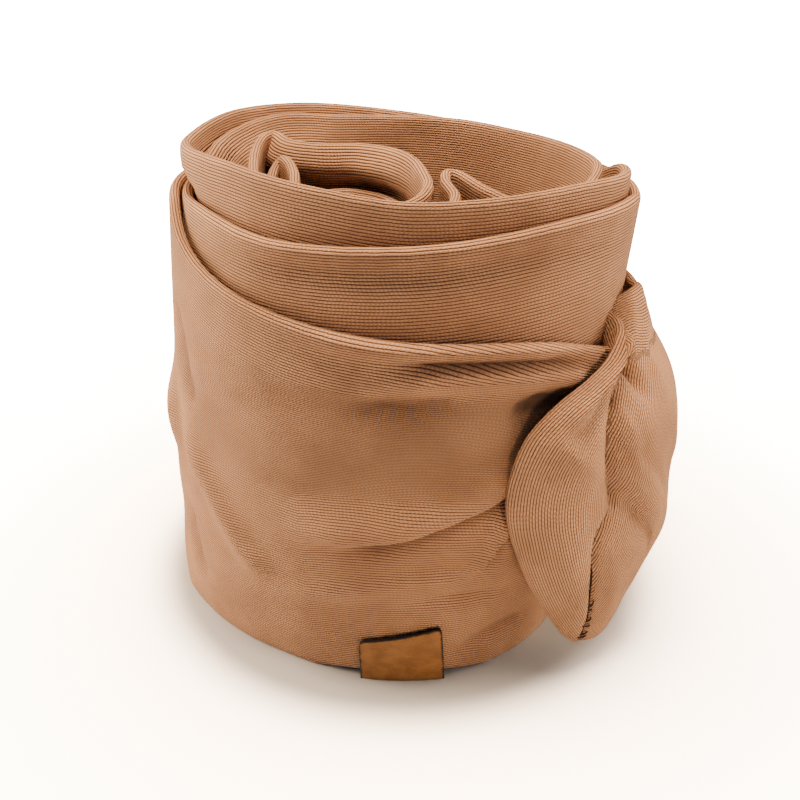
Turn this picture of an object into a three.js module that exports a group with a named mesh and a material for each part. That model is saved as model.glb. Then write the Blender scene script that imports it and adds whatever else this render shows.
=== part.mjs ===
// A wire headband: one long flat tube of jersey, rolled up and stood on its lower edge. The inner end is a loose coil,
// the outer end is gathered, folded back on itself at the right and left hanging as a leaf-shaped tail in front.
// A small leather label is folded round the lower edge at the front.
// Millimetres and degrees, +Z up, the front towards -Y. Winding angles grow outwards, counterclockwise from above.
import * as THREE from "three";

// Driving dimensions
const BAND_WIDTH = 80;
const WALL = 1.8; // two plies of jersey and the air between them
const STRAP_WALL = 1.6; // pulled tight between the fold and the tail
const TAIL_WALL = 2.4; // the plies stand a little apart in the sewn end
const TURN_PITCH = 2.25; // from the middle of one turn's wall to the next
const ROLL_START = -1080; // winding angle where the loose coil becomes the round roll
const ROLL_END = 300; // winding angle where the gathering begins
const ROLL_STEP = 12;
const ACROSS = 10; // steps from edge to edge, between the rounded edges
const HEM_SINK = 0.35; // how much of the lower edge is flattened where it rests
const END_OPENING = 0.4; // how far the wall is open at the band's two closed ends, as a share of its thickness
const WIDEST_EDGE = 0.12; // the largest share of the width that a rounded edge takes
const EDGE_POINT = 0.27; // where a rounded edge has its point, as a share of that edge
const PLEATS = 3;

// The label. liftSpan is how many degrees of the lower edge ride over it to each side, bend how high its first row
// above the fold is, sideways and climb how far its tilt shifts a point along the band and upwards, and lowest the
// least share of the wall's height that it follows.
const LABEL = {
  width: 15, height: 11.2, tilt: 9.5, turn: 270.6, thickness: 0.8, gap: 0.3, corner: 1.1,
  liftSpan: 22, bend: 0.9, sideways: 0.6, climb: 1.4, lowest: 0.012, acrossSteps: 8, upSteps: 6,
};

const table = (columns, rows) =>
  rows.map((row) => Object.fromEntries(columns.map((name, i) => [name, row[i]])));

// Radius of the wall's middle at the floor, half way up and at full height, by compass angle, before the spiral's own
// growth is added.
const OUTLINE = table(
  ["compass", "low", "mid", "high"],
  [
    [0, 34.5, 38.0, 41.6],
    [20, 34.7, 38.2, 41.1],
    [45, 35.2, 38.8, 40.9],
    [90, 37.5, 40.3, 41.4],
    [135, 40.6, 41.8, 40.2],
    [165, 42.4, 41.6, 38.6],
    [180, 43.0, 41.4, 38.2],
    [195, 43.2, 41.4, 38.4],
    [210, 41.2, 41.6, 39.3],
    [225, 39.2, 40.9, 39.9],
    [240, 37.8, 40.8, 40.5],
    [270, 37.5, 40.9, 41.2],
    [285, 37.7, 40.7, 41.4],
    [300, 36.6, 40.5, 41.4],
    [315, 34.9, 39.8, 41.4],
    [335, 34.2, 38.6, 41.4],
    [360, 34.5, 38.0, 41.6],
  ],
);

// Heights of the lower and upper edge along the winding.
const HEIGHTS = table(
  ["turn", "hem", "rim"],
  [
    [-1080, 7.0, 83.6],
    [-1035, 6.5, 84.4],
    [-1010, 6.0, 85.4],
    [-970, 6.0, 86.0],
    [-948, 6.0, 87.2],
    [-925, 5.5, 86.0],
    [-900, 5.0, 84.0],
    [-840, 3.0, 82.0],
    [-780, 1.5, 81.2],
    [-740, 0.8, 78.4],
    [-715, 0.8, 77.4],
    [-690, 2.0, 80.6],
    [-655, 4.5, 84.2],
    [-630, 6.5, 86.3],
    [-594, 8.0, 88.7],
    [-573, 8.5, 89.0],
    [-540, 8.0, 88.0],
    [-500, 8.0, 88.8],
    [-470, 7.0, 87.3],
    [-445, 6.0, 85.7],
    [-410, 5.5, 86.0],
    [-378, 4.5, 84.3],
    [-360, 3.5, 83.0],
    [-344, 1.5, 79.6],
    [-325, 0.5, 78.6],
    [-290, 0.0, 79.4],
    [-225, 0.0, 80.9],
    [-180, -HEM_SINK, 80.8],
    [-146, -HEM_SINK, 81.4],
    [-115, -HEM_SINK, 79.6],
    [-90, -HEM_SINK, 80.1],
    [-50, -HEM_SINK, 81.9],
    [-27, -HEM_SINK, 81.5],
    [-10, -HEM_SINK, 80.0],
    [90, -HEM_SINK, 80.6],
    [180, -HEM_SINK, 81.1],
    [200, -HEM_SINK, 80.6],
    [212, -HEM_SINK, 76.0],
    [223, -HEM_SINK, 72.8],
    [238, -HEM_SINK, 70.2],
    [264, -HEM_SINK, 67.3],
    [289, -HEM_SINK, 65.7],
    [303, -HEM_SINK, 64.0],
    [316, -HEM_SINK, 60.8],
  ],
);

// The loose coil inside the roll, seen from above, from the band's inner end outwards: where the wall's middle runs
// and how high its lower and upper edges are.
const COIL = table(
  ["x", "y", "hem", "rim"],
  [
    [1.2, -16.0, 34.0, 80.0],
    [-0.2, -11.6, 30.0, 83.0],
    [-3.4, -10.8, 27.0, 82.6],
    [-7.2, -8.0, 25.0, 83.4],
    [-11.2, -9.2, 23.0, 83.2],
    [-13.2, -13.4, 21.0, 82.6],
    [-13.4, -18.4, 20.0, 82.4],
    [-15.0, -21.4, 19.0, 82.6],
    [-16.7, -18.6, 18.5, 83.6],
    [-17.3, -13.5, 18.0, 84.6],
    [-18.8, -7.4, 17.0, 85.2],
    [-20.6, -3.2, 16.5, 85.0],
    [-22.0, -5.6, 16.0, 83.0],
    [-21.4, -12.0, 15.0, 82.0],
    [-20.0, -18.6, 14.5, 82.0],
    [-17.8, -23.4, 14.0, 82.0],
    [-13.2, -26.9, 13.0, 82.2],
    [-5.2, -29.2, 12.5, 82.4],
    [1.4, -28.0, 12.0, 83.4],
    [4.2, -24.0, 12.0, 84.8],
    [3.8, -17.0, 12.0, 85.6],
    [2.4, -8.6, 12.0, 86.0],
    [-1.2, -1.8, 11.5, 86.2],
    [-7.4, 2.4, 11.0, 86.2],
    [-14.0, 3.2, 10.5, 86.1],
    [-19.2, 5.6, 10.0, 86.2],
    [-22.2, 10.2, 10.0, 86.6],
    [-24.4, 11.0, 10.0, 86.7],
    [-25.5, 6.6, 9.5, 86.4],
    [-25.2, -2.4, 9.0, 86.2],
    [-24.3, -11.0, 8.5, 86.0],
    [-23.2, -18.0, 8.5, 85.4],
    [-21.4, -23.6, 8.0, 83.6],
    [-17.0, -27.5, 8.0, 82.4],
    [-8.4, -31.6, 7.5, 82.2],
    [0.6, -32.9, 7.5, 82.4],
    [6.4, -31.4, 7.5, 83.0],
    [8.4, -26.2, 7.5, 84.0],
    [7.2, -20.4, 7.5, 84.9],
    [7.6, -15.6, 7.5, 85.3],
    [9.8, -16.4, 7.5, 85.1],
    [13.4, -21.6, 7.5, 84.0],
    [18.6, -25.6, 7.5, 82.8],
    [24.6, -23.0, 7.5, 82.6],
    [29.8, -16.6, 7.2, 83.0],
    [33.4, -8.4, 7.0, 83.4],
  ],
);

// The gathered end and the tail: a row for each section, with the angle, radius and height of the wall's middle at the
// lower edge, half way across and at the upper edge. The lobes say how far each half of the section swells out in
// front, pleat is the depth of the gathers, wall is the thickness and steps the stations up to the next row.
const END = table(
  ["hemTurn", "hemR", "hemZ", "midTurn", "midR", "midZ", "rimTurn", "rimR", "rimZ", "lowLobe", "highLobe", "pleat",
    "wall", "steps"],
  [
    [306, 37.9, -HEM_SINK, 306, 42.2, 31.0, 306, 43.1, 63.2, 0, 0, 0.1, WALL, 1],
    [312, 37.2, -HEM_SINK, 312, 42.3, 31.5, 312, 43.1, 61.7, 0, 0, 0.2, WALL, 1],
    [318, 36.6, -HEM_SINK, 318, 42.5, 33.0, 317.5, 42.9, 60.2, 0, 0, 0.35, WALL, 1],
    [323, 37.4, 5.0, 323, 42.7, 36.5, 322.5, 42.9, 58.8, 0, 0, 0.45, WALL, 1],
    [328, 39.6, 20.0, 328, 42.9, 41.5, 328, 42.9, 57.8, 0, 0, 0.5, WALL, 1],
    [333.5, 41.6, 33.0, 334, 43.0, 46.5, 334, 42.9, 57.2, 0, 0, 0.45, WALL, 1],
    [340, 42.2, 40.5, 341, 43.0, 49.5, 341, 42.7, 57.0, 0, 0, 0.4, WALL, 1],
    [352, 42.2, 42.5, 352, 43.0, 50.0, 352, 42.6, 57.0, 0, 0, 0.35, WALL, 1],
    [364, 42.4, 42.5, 364, 43.0, 50.0, 364, 42.7, 57.2, 0, 0, 0.3, WALL, 2],
    [374, 43.0, 42.5, 374.5, 43.3, 51.0, 375, 42.9, 59.5, 0, 0, 0.15, WALL, 2],
    [379, 45.2, 42.5, 380.5, 45.4, 52.5, 381.5, 44.4, 62.0, 0, 0, 0, STRAP_WALL, 2],
    [374, 47.6, 42.8, 376, 47.2, 53.0, 378, 45.4, 62.8, 0, 0, 0, STRAP_WALL, 2],
    [364.5, 48.8, 43.0, 367, 47.1, 53.3, 369, 44.4, 62.0, 0.3, 0.2, 0, STRAP_WALL, 2],
    [354, 50.1, 42.8, 357.5, 47.0, 53.4, 359, 43.8, 61.8, 0.7, 0.3, 0, STRAP_WALL, 1],
    [344, 51.8, 42.2, 348, 47.2, 53.6, 349.5, 43.3, 62.8, 1.2, 0.4, 0, STRAP_WALL, 1],
    [337.5, 53.1, 40.6, 338.5, 47.1, 53.9, 340.5, 43.0, 64.2, 1.9, 0.5, 0, STRAP_WALL, 1],
    [333.6, 53.9, 38.3, 330.5, 46.9, 53.9, 332, 43.2, 65.1, 2.8, 0.6, 0, STRAP_WALL, 1],
    [332, 53.9, 35.4, 324.6, 47.0, 53.2, 325.5, 44.5, 61.9, 3.2, 0.8, 0, STRAP_WALL, 1],
    [331.2, 54.1, 32.4, 320.2, 47.4, 51.0, 317.5, 45.6, 58.8, 3.6, 1.0, 0, STRAP_WALL, 1],
    [330.6, 54.4, 29.5, 317.6, 47.8, 47.5, 309.5, 46.1, 57.0, 3.8, 1.5, 0, WALL, 1],
    [330, 54.5, 26.6, 316.8, 48.1, 43.2, 301, 46.4, 54.6, 3.8, 2.6, 0, TAIL_WALL, 1],
    [329.2, 54.3, 23.6, 316.6, 48.2, 38.6, 294.6, 46.5, 50.4, 3.8, 4.0, 0, TAIL_WALL, 1],
    [328.2, 53.5, 20.2, 317.0, 48.1, 34.2, 291.6, 46.3, 43.5, 3.7, 4.8, 0, TAIL_WALL, 1],
    [327, 52.2, 16.4, 315.8, 48.4, 29.8, 291.6, 45.9, 36.4, 3.4, 4.9, 0, TAIL_WALL, 1],
    [326, 51.0, 12.6, 313.6, 48.6, 24.8, 294.2, 45.7, 29.0, 3.0, 4.4, 0, TAIL_WALL, 1],
    [324.7, 49.8, 9.2, 312.9, 48.8, 19.0, 298.0, 45.6, 21.6, 2.5, 3.5, 0, TAIL_WALL, 1],
    [322.7, 49.2, 6.4, 312.9, 48.9, 13.2, 302.6, 45.8, 14.6, 1.8, 2.5, 0, TAIL_WALL, 1],
    [319.8, 49.0, 4.6, 312.7, 48.8, 8.2, 307.2, 46.5, 8.8, 1.0, 1.3, 0, TAIL_WALL, 1],
    [316.8, 48.8, 3.6, 313.4, 48.6, 4.8, 310.2, 47.6, 5.2, 0.3, 0.3, 0, WALL, 1],
  ],
);

// Soft ridges in the outermost turn: each runs from one point of the wall to another, given by winding angle and
// height.
const FOLDS = table(
  ["fromTurn", "fromZ", "toTurn", "toZ", "reach", "height"],
  [
    [176, 39.5, 204, 40.5, 7.0, 2.0],
    [170, 5.0, 200, 8.0, 8.0, 0.6],
    [170, 28.0, 200, 26.0, 6.0, 0.5],
    [262, 33.0, 294, 40.0, 6.0, 1.0],
    [282, 24.0, 298, 33.0, 5.0, 0.8],
    [262, 65.0, 306, 61.5, 3.0, 0.4],
    [258, 50.0, 296, 53.0, 5.0, 0.4],
    [256, 12.0, 290, 14.0, 6.0, 0.3],
  ],
);
const FOLDED = { from: 168, full: 192, fading: 300, until: 322 };

// The turns that stand higher than the rest lean out again at the left: how fast, by compass angle.
const FLARE = { from: 82, rows: table(["compass", "rate"], [[90, 0], [140, 0.07], [185, 0.055], [225, 0]]) };

const LEANING = 32; // from this radius on the coil leans as much as the roll

const rad = THREE.MathUtils.degToRad;
const deg = THREE.MathUtils.radToDeg;

// Smooth monotone interpolation of one column of a table.
function lookup(rows, key, at, column) {
  const last = rows.length - 1;
  if (at <= rows[0][key]) return rows[0][column];
  if (at >= rows[last][key]) return rows[last][column];
  const k = rows.findIndex((row, i) => i < last && at < rows[i + 1][key]);
  const span = (i) => rows[i + 1][key] - rows[i][key];
  const slope = (i) => (rows[i + 1][column] - rows[i][column]) / span(i);
  const tangent = (i) => {
    if (i === 0 || i === last) return slope(Math.min(i, last - 1));
    const [before, after] = [slope(i - 1), slope(i)];
    return before * after <= 0 ? 0 : (2 * before * after) / (before + after);
  };
  const t = (at - rows[k][key]) / span(k);
  const [t2, t3] = [t * t, t * t * t];
  return (
    (2 * t3 - 3 * t2 + 1) * rows[k][column] +
    (t3 - 2 * t2 + t) * span(k) * tangent(k) +
    (3 * t2 - 2 * t3) * rows[k + 1][column] +
    (t3 - t2) * span(k) * tangent(k + 1)
  );
}

const polar = (turn, radius, z) =>
  new THREE.Vector3(radius * Math.cos(rad(turn)), radius * Math.sin(rad(turn)), z);

// A section of the band: the wall's middle at its lower edge, half way across and at its upper edge.
const section = (hem, mid, rim, more = {}) => ({
  hem, mid, rim, lowLobe: 0, highLobe: 0, pleat: 0, wall: WALL, turn: ROLL_START, ...more,
});

const compassOf = (turn) => ((turn % 360) + 360) % 360;

// Quadratic curve through its values at 0, a half and 1.
const blend = (low, mid, high, share) =>
  low * (1 - share) * (1 - 2 * share) + mid * 4 * share * (1 - share) + high * share * (2 * share - 1);

function outlineRadius(compass, z) {
  const [low, mid, high] = ["low", "mid", "high"].map((name) => lookup(OUTLINE, "compass", compass, name));
  return blend(low, mid, high, z / BAND_WIDTH);
}

function rollSection(turn) {
  const spiral = (TURN_PITCH * turn) / 360;
  const hemZ = lookup(HEIGHTS, "turn", turn, "hem") + labelLift(turn);
  const rimZ = lookup(HEIGHTS, "turn", turn, "rim");
  const at = (z) => polar(turn, outlineRadius(compassOf(turn), z) + spiral, z);
  return section(at(hemZ), at((hemZ + rimZ) / 2), at(rimZ), { turn });
}

// The lower edge rides over the part of the label that is folded under it.
function labelLift(turn) {
  const away = Math.abs(turn - LABEL.turn) / LABEL.liftSpan;
  const lift = LABEL.thickness + LABEL.gap + HEM_SINK;
  return away < 1 ? lift * Math.sqrt(Math.cos((away * Math.PI) / 2)) : 0;
}

// Sections between the rows of a table of Catmull-Rom knots.
function between(knots, stepsAfter) {
  const curve = (edge) => new THREE.CatmullRomCurve3(knots.map((k) => k[edge]), false, "catmullrom", 0.5);
  const [hem, mid, rim] = ["hem", "mid", "rim"].map(curve);
  const spans = knots.length - 1;
  const sections = [];
  knots.forEach((knot, i) => {
    const steps = i < spans ? stepsAfter(i) : 1;
    for (let j = 0; j < steps; j++) {
      const at = (i + j / steps) / spans;
      const mix = (name) => THREE.MathUtils.lerp(knot[name], (knots[i + 1] ?? knot)[name], j / steps);
      sections.push(
        section(hem.getPoint(at), mid.getPoint(at), rim.getPoint(at), {
          lowLobe: mix("lowLobe"), highLobe: mix("highLobe"), pleat: mix("pleat"), wall: mix("wall"),
          turn: mix("turn"),
        }),
      );
    }
  });
  return sections;
}

// The loose coil leans with the roll round it, less towards the middle.
function coilSections() {
  const knots = COIL.map(({ x, y, hem, rim }) => {
    const compass = compassOf(deg(Math.atan2(y, x)));
    const radius = Math.hypot(x, y);
    const at = (z) => {
      const lean = outlineRadius(compass, z) - outlineRadius(compass, rim);
      return polar(compass, radius + lean * Math.min(radius / LEANING, 1), z);
    };
    return section(at(hem), at((hem + rim) / 2), at(rim));
  });
  knots.push(rollSection(ROLL_START));
  return between(knots, () => 1).slice(0, -1);
}

function rollSections() {
  const turns = [];
  for (let turn = ROLL_START; turn <= ROLL_END; turn += ROLL_STEP) turns.push(turn);
  return turns.map(rollSection);
}

function endSections() {
  const knots = END.map((row, i) =>
    section(
      polar(row.hemTurn, row.hemR, row.hemZ),
      polar(row.midTurn, row.midR, row.midZ),
      polar(row.rimTurn, row.rimR, row.rimZ),
      // the inner side of the band faces forward after the fold, so the lobes swell against its normal
      {
        lowLobe: -row.lowLobe, highLobe: -row.highLobe, pleat: row.pleat, wall: row.wall,
        turn: ROLL_END + (ROLL_STEP / 2) * (i + 1),
      },
    ),
  );
  return between(knots, (i) => END[i].steps);
}

// How far a point of the roll is pushed out by the flare and the folds, which fade as the gathering begins.
function relief(point, turn) {
  if (turn > FOLDED.until) return 0;
  const flare =
    lookup(FLARE.rows, "compass", compassOf(turn), "rate") * Math.max(point.z - FLARE.from, 0) ** 2;
  if (turn < FOLDED.from) return flare;
  const girth = rad(1) * Math.hypot(point.x, point.y); // length of a degree of the wall
  const fading = 1 - THREE.MathUtils.smoothstep(turn, FOLDED.fading, FOLDED.until);
  const onset = THREE.MathUtils.smoothstep(turn, FOLDED.from, FOLDED.full) * fading;
  return FOLDS.reduce((sum, fold) => {
    const along = new THREE.Vector2((fold.toTurn - fold.fromTurn) * girth, fold.toZ - fold.fromZ);
    const here = new THREE.Vector2((turn - fold.fromTurn) * girth, point.z - fold.fromZ);
    const t = THREE.MathUtils.clamp(here.dot(along) / along.lengthSq(), 0, 1);
    const off = here.sub(along.multiplyScalar(t)).length() / fold.reach;
    return sum + onset * fold.height * Math.exp(-off * off);
  }, flare);
}

// Point of the wall's middle at a share of the way from the lower edge to the upper one.
function acrossPoint(at, share) {
  const along = (axis) => blend(at.hem[axis], at.mid[axis], at.rim[axis], share);
  return new THREE.Vector3(along("x"), along("y"), along("z"));
}

// Shares of the width where the wall has its points: close together at the rounded edges.
function shares(at) {
  const width = at.hem.distanceTo(at.mid) + at.mid.distanceTo(at.rim);
  const edge = Math.min(at.wall / 2 / width, WIDEST_EDGE);
  const inner = Array.from({ length: ACROSS + 1 }, (_, j) => edge + ((1 - 2 * edge) * j) / ACROSS);
  return [0, edge * EDGE_POINT, ...inner, 1 - edge * EDGE_POINT, 1];
}

// Half the wall's thickness at a share of the width: a half circle at each edge.
function halfWall(at, share, edge) {
  const inward = Math.min(share, 1 - share) / edge;
  return (at.wall / 2) * Math.sqrt(1 - (1 - Math.min(inward, 1)) ** 2);
}

// The closed surface of the band: a ring of points round each section, joined to the next ring.
function bandGeometry(sections) {
  const samples = sections.map(shares);
  const middle = sections.map((at, i) => samples[i].map((share) => acrossPoint(at, share)));
  const columns = samples[0].length;
  const lastRow = sections.length - 1;

  const normals = middle.map((row, i) =>
    row.map((_, j) => {
      const along = middle[Math.min(i + 1, lastRow)][j].clone().sub(middle[Math.max(i - 1, 0)][j]);
      const across = row[Math.min(j + 1, columns - 1)].clone().sub(row[Math.max(j - 1, 0)]);
      return along.cross(across).normalize();
    }),
  );

  const outer = [], inner = [];
  sections.forEach((at, i) => {
    const edge = samples[i][2];
    const opening = i === 0 || i === lastRow ? END_OPENING : 1;
    samples[i].forEach((share, j) => {
      const lobe = share < 0.5 ? at.lowLobe : at.highLobe;
      const push =
        lobe * Math.abs(Math.sin(2 * Math.PI * share)) +
        at.pleat * Math.cos(2 * Math.PI * PLEATS * share) * (1 - share ** 2) +
        relief(middle[i][j], at.turn);
      const half = halfWall(at, share, edge) * opening;
      const place = (offset) => {
        const p = middle[i][j].clone().addScaledVector(normals[i][j], push + offset);
        return p.setZ(Math.max(p.z, 0));
      };
      outer.push(place(half));
      inner.push(place(-half));
    });
  });

  // a ring runs up the outer face and down the inner one, with one point at each edge
  const points = [];
  const ringLength = 2 * (columns - 1);
  for (let i = 0; i <= lastRow; i++) {
    const row = i * columns;
    for (let j = 0; j < columns; j++) points.push(outer[row + j]);
    for (let j = columns - 2; j > 0; j--) points.push(inner[row + j]);
  }
  const faces = [];
  const quad = (a, b, c, d) => faces.push(a, b, c, a, c, d);
  for (let i = 0; i < lastRow; i++)
    for (let k = 0; k < ringLength; k++) {
      const next = (k + 1) % ringLength;
      const [here, there] = [i * ringLength, (i + 1) * ringLength];
      quad(here + k, there + k, there + next, here + next);
    }
  for (const [ring, flip] of [[0, false], [lastRow * ringLength, true]])
    for (let j = 0; j < columns - 1; j++) {
      const out = [ring + j, ring + j + 1];
      const back = [ring + ((ringLength - j) % ringLength), ring + ringLength - j - 1];
      const corners = [out[0], out[1], back[1], back[0]];
      const loop = (flip ? corners.reverse() : corners).filter((p, n, all) => all.indexOf(p) === n);
      if (loop.length === 4) quad(...loop);
      else faces.push(...loop);
    }
  return solid(points, faces);
}

function solid(points, faces) {
  const geometry = new THREE.BufferGeometry().setFromPoints(points);
  geometry.setIndex(faces);
  geometry.computeVertexNormals();
  return geometry;
}

// The label follows the outermost turn and is folded under its lower edge. Its rows run from the fold's inner end
// under the band, round the corner and up to the top edge.
function labelGeometry() {
  const { width, height, tilt, turn, thickness, gap, corner, bend, sideways, climb, lowest } = LABEL;
  const { acrossSteps, upSteps } = LABEL;
  const wallAt = rollSection(turn);
  const radius = Math.hypot(wallAt.hem.x, wallAt.hem.y) + WALL / 2;
  const under = WALL;
  const rows = [-under, -under / 2, 0, bend];
  for (let k = 1; k <= upSteps; k++) rows.push(bend + ((height - bend) * k) / upSteps);

  const face = (side, up, lift) => {
    // up the front the label is tilted; below the corner it lies flat under the band
    const rounded = Math.max(0, corner - (height - Math.max(up, 0)));
    const pinch = rounded > 0 ? corner - Math.sqrt(Math.max(corner ** 2 - rounded ** 2, 0)) : 0;
    const reach = (width / 2 - pinch) * side;
    const slope = Math.tan(rad(tilt));
    const lean = -slope * Math.max(up, 0) * sideways;
    const z = up > 0 ? up + (up / height) * slope * reach * climb : 0;
    const at = turn + (reach + lean) / radius / rad(1);
    const wall = rollSection(at);
    const rise = (z + HEM_SINK) / (wall.rim.z + HEM_SINK);
    const on = acrossPoint(wall, Math.max(rise, lowest));
    const out = new THREE.Vector2(on.x, on.y).normalize();
    const stand = WALL / 2 + gap + lift;
    const inward = up < 0 ? -up + WALL / 2 : 0;
    return up <= 0
      ? new THREE.Vector3(on.x + out.x * (stand - inward), on.y + out.y * (stand - inward), thickness - lift)
      : new THREE.Vector3(on.x + out.x * stand, on.y + out.y * stand, z);
  };

  const sides = Array.from({ length: acrossSteps + 1 }, (_, k) => (2 * k) / acrossSteps - 1);
  const grid = (lift) => rows.map((up) => sides.map((side) => face(side, up, lift)));
  return sheetSolid(grid(0), grid(thickness));
}

// A closed solid between two grids of the same size.
function sheetSolid(back, front) {
  const [rows, columns] = [back.length, back[0].length];
  const points = [...back.flat(), ...front.flat()];
  const at = (layer, i, j) => (layer * rows + i) * columns + j;
  const faces = [];
  const quad = (a, b, c, d) => faces.push(a, b, c, a, c, d);
  for (let i = 0; i < rows - 1; i++)
    for (let j = 0; j < columns - 1; j++) {
      quad(at(1, i, j), at(1, i, j + 1), at(1, i + 1, j + 1), at(1, i + 1, j));
      quad(at(0, i, j), at(0, i + 1, j), at(0, i + 1, j + 1), at(0, i, j + 1));
    }
  for (let i = 0; i < rows - 1; i++) {
    quad(at(0, i, 0), at(1, i, 0), at(1, i + 1, 0), at(0, i + 1, 0));
    quad(at(0, i, columns - 1), at(0, i + 1, columns - 1), at(1, i + 1, columns - 1), at(1, i, columns - 1));
  }
  for (let j = 0; j < columns - 1; j++) {
    quad(at(0, 0, j), at(0, 0, j + 1), at(1, 0, j + 1), at(1, 0, j));
    quad(at(0, rows - 1, j), at(1, rows - 1, j), at(1, rows - 1, j + 1), at(0, rows - 1, j + 1));
  }
  return solid(points, faces);
}

const jersey = new THREE.MeshStandardMaterial({ color: 0x9c7560, roughness: 0.95, metalness: 0 });
const leather = new THREE.MeshStandardMaterial({ color: 0x9b5a2b, roughness: 0.6, metalness: 0 });

function named(name, geometry, material) {
  const mesh = new THREE.Mesh(geometry, material);
  mesh.name = name;
  return mesh;
}

const headband = new THREE.Group();
headband.add(
  named("band", bandGeometry([...coilSections(), ...rollSections(), ...endSections()]), jersey),
  named("label", labelGeometry(), leather),
);

// The origin is under the middle of the whole thing.
const bounds = new THREE.Box3().setFromObject(headband);
const middleOfAll = bounds.getCenter(new THREE.Vector3());
headband.position.set(-middleOfAll.x, -middleOfAll.y, -bounds.min.z);

export default headband;
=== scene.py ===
"""A wire headband of ribbed jersey, rolled up and stood on its lower edge, with a folded tail and a leather label.

The band is one long flat tube of cloth. It is worked out as a row of sections along its winding: a loose coil inside,
round turns outside it, and a gathered end that is folded back at the right and hangs as a leaf-shaped tail in front.
Sizes in the tables are in millimetres and degrees; meshes are in metres. Winding angles grow outwards,
counterclockwise from above, and the front is towards -Y.
"""

from __future__ import annotations

import logging
import math
from dataclasses import dataclass, field
from enum import Enum
from typing import ClassVar

import bmesh
import bpy
import numpy as np
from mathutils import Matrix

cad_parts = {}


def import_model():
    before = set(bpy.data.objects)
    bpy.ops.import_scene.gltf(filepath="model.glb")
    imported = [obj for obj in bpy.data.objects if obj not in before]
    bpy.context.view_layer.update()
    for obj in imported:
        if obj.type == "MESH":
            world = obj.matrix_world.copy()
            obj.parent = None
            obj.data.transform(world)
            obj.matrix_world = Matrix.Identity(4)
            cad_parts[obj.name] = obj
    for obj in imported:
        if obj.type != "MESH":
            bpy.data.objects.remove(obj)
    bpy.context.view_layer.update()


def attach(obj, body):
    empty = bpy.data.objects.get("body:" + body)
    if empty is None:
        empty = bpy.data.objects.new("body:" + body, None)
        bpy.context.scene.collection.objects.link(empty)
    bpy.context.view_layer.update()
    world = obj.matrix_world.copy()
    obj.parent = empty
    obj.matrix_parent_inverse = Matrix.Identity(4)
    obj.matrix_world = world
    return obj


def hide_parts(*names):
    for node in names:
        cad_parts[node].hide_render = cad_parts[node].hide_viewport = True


LOG = logging.getLogger("headband")
MM = 0.001

Array = np.ndarray
Colour = tuple[float, float, float]
Place = tuple[float, float, float]
Rows = tuple[tuple[float, ...], ...]


class Ply(Enum):
    """The two plies of the flat tube, by the side of the winding that they are on."""

    OUTER = 1.0
    INNER = -1.0


class Slot(Enum):
    """The record's material slots."""

    JERSEY = "jersey"
    LEATHER = "leather"


@dataclass(frozen=True)
class Table:
    """Rows of numbers with named columns, read between the rows by a smooth monotone curve."""

    columns: tuple[str, ...]
    rows: Rows

    def column(self, name: str) -> Array:
        """Returns one column as an array."""
        return np.array([row[self.columns.index(name)] for row in self.rows], dtype=float)

    def at(self, where: Array, name: str) -> Array:
        """Reads a column between its rows.

        Args:
            where: values of the table's first column, which grows from row to row.
            name: the column to read.

        Returns:
            The column's values there, held level past both ends.
        """
        key, value = self.column(self.columns[0]), self.column(name)
        span = np.diff(key)
        slope = np.diff(value) / span
        before, after = slope[:-1], slope[1:]
        total = np.where(before * after > 0, before + after, 1.0)
        inner = np.where(before * after > 0, 2 * before * after / total, 0.0)
        tangent = np.concatenate([slope[:1], inner, slope[-1:]])
        k = np.clip(np.searchsorted(key, where, side="right") - 1, 0, len(span) - 1)
        t = np.clip((where - key[k]) / span[k], 0.0, 1.0)
        return (
            (2 * t**3 - 3 * t**2 + 1) * value[k]
            + (t**3 - 2 * t**2 + t) * span[k] * tangent[k]
            + (3 * t**2 - 2 * t**3) * value[k + 1]
            + (t**3 - t**2) * span[k] * tangent[k + 1]
        )


# Radius of the wall's middle at the floor, half way up and at full height, before the spiral's own growth.
OUTLINE = Table(
    ("compass", "low", "mid", "high"),
    (
        (0, 34.5, 38, 41.6), (20, 34.7, 38.2, 41.1), (45, 35.2, 38.8, 40.9), (90, 37.5, 40.3, 41.4),
        (135, 40.6, 41.8, 40.2), (165, 42.4, 41.6, 38.6), (180, 43, 41.4, 38.2), (195, 43.2, 41.4, 38.4),
        (210, 41.2, 41.6, 39.3), (225, 39.2, 40.9, 39.9), (240, 37.8, 40.8, 40.5), (270, 37.5, 40.9, 41.2),
        (285, 37.7, 40.7, 41.4), (300, 36.6, 40.5, 41.4), (315, 34.9, 39.8, 41.4), (335, 34.2, 38.6, 41.4),
        (360, 34.5, 38, 41.6),
    ),
)

# How much of the lower edge is flattened where it rests.
HEM_SINK = 0.35

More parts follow.
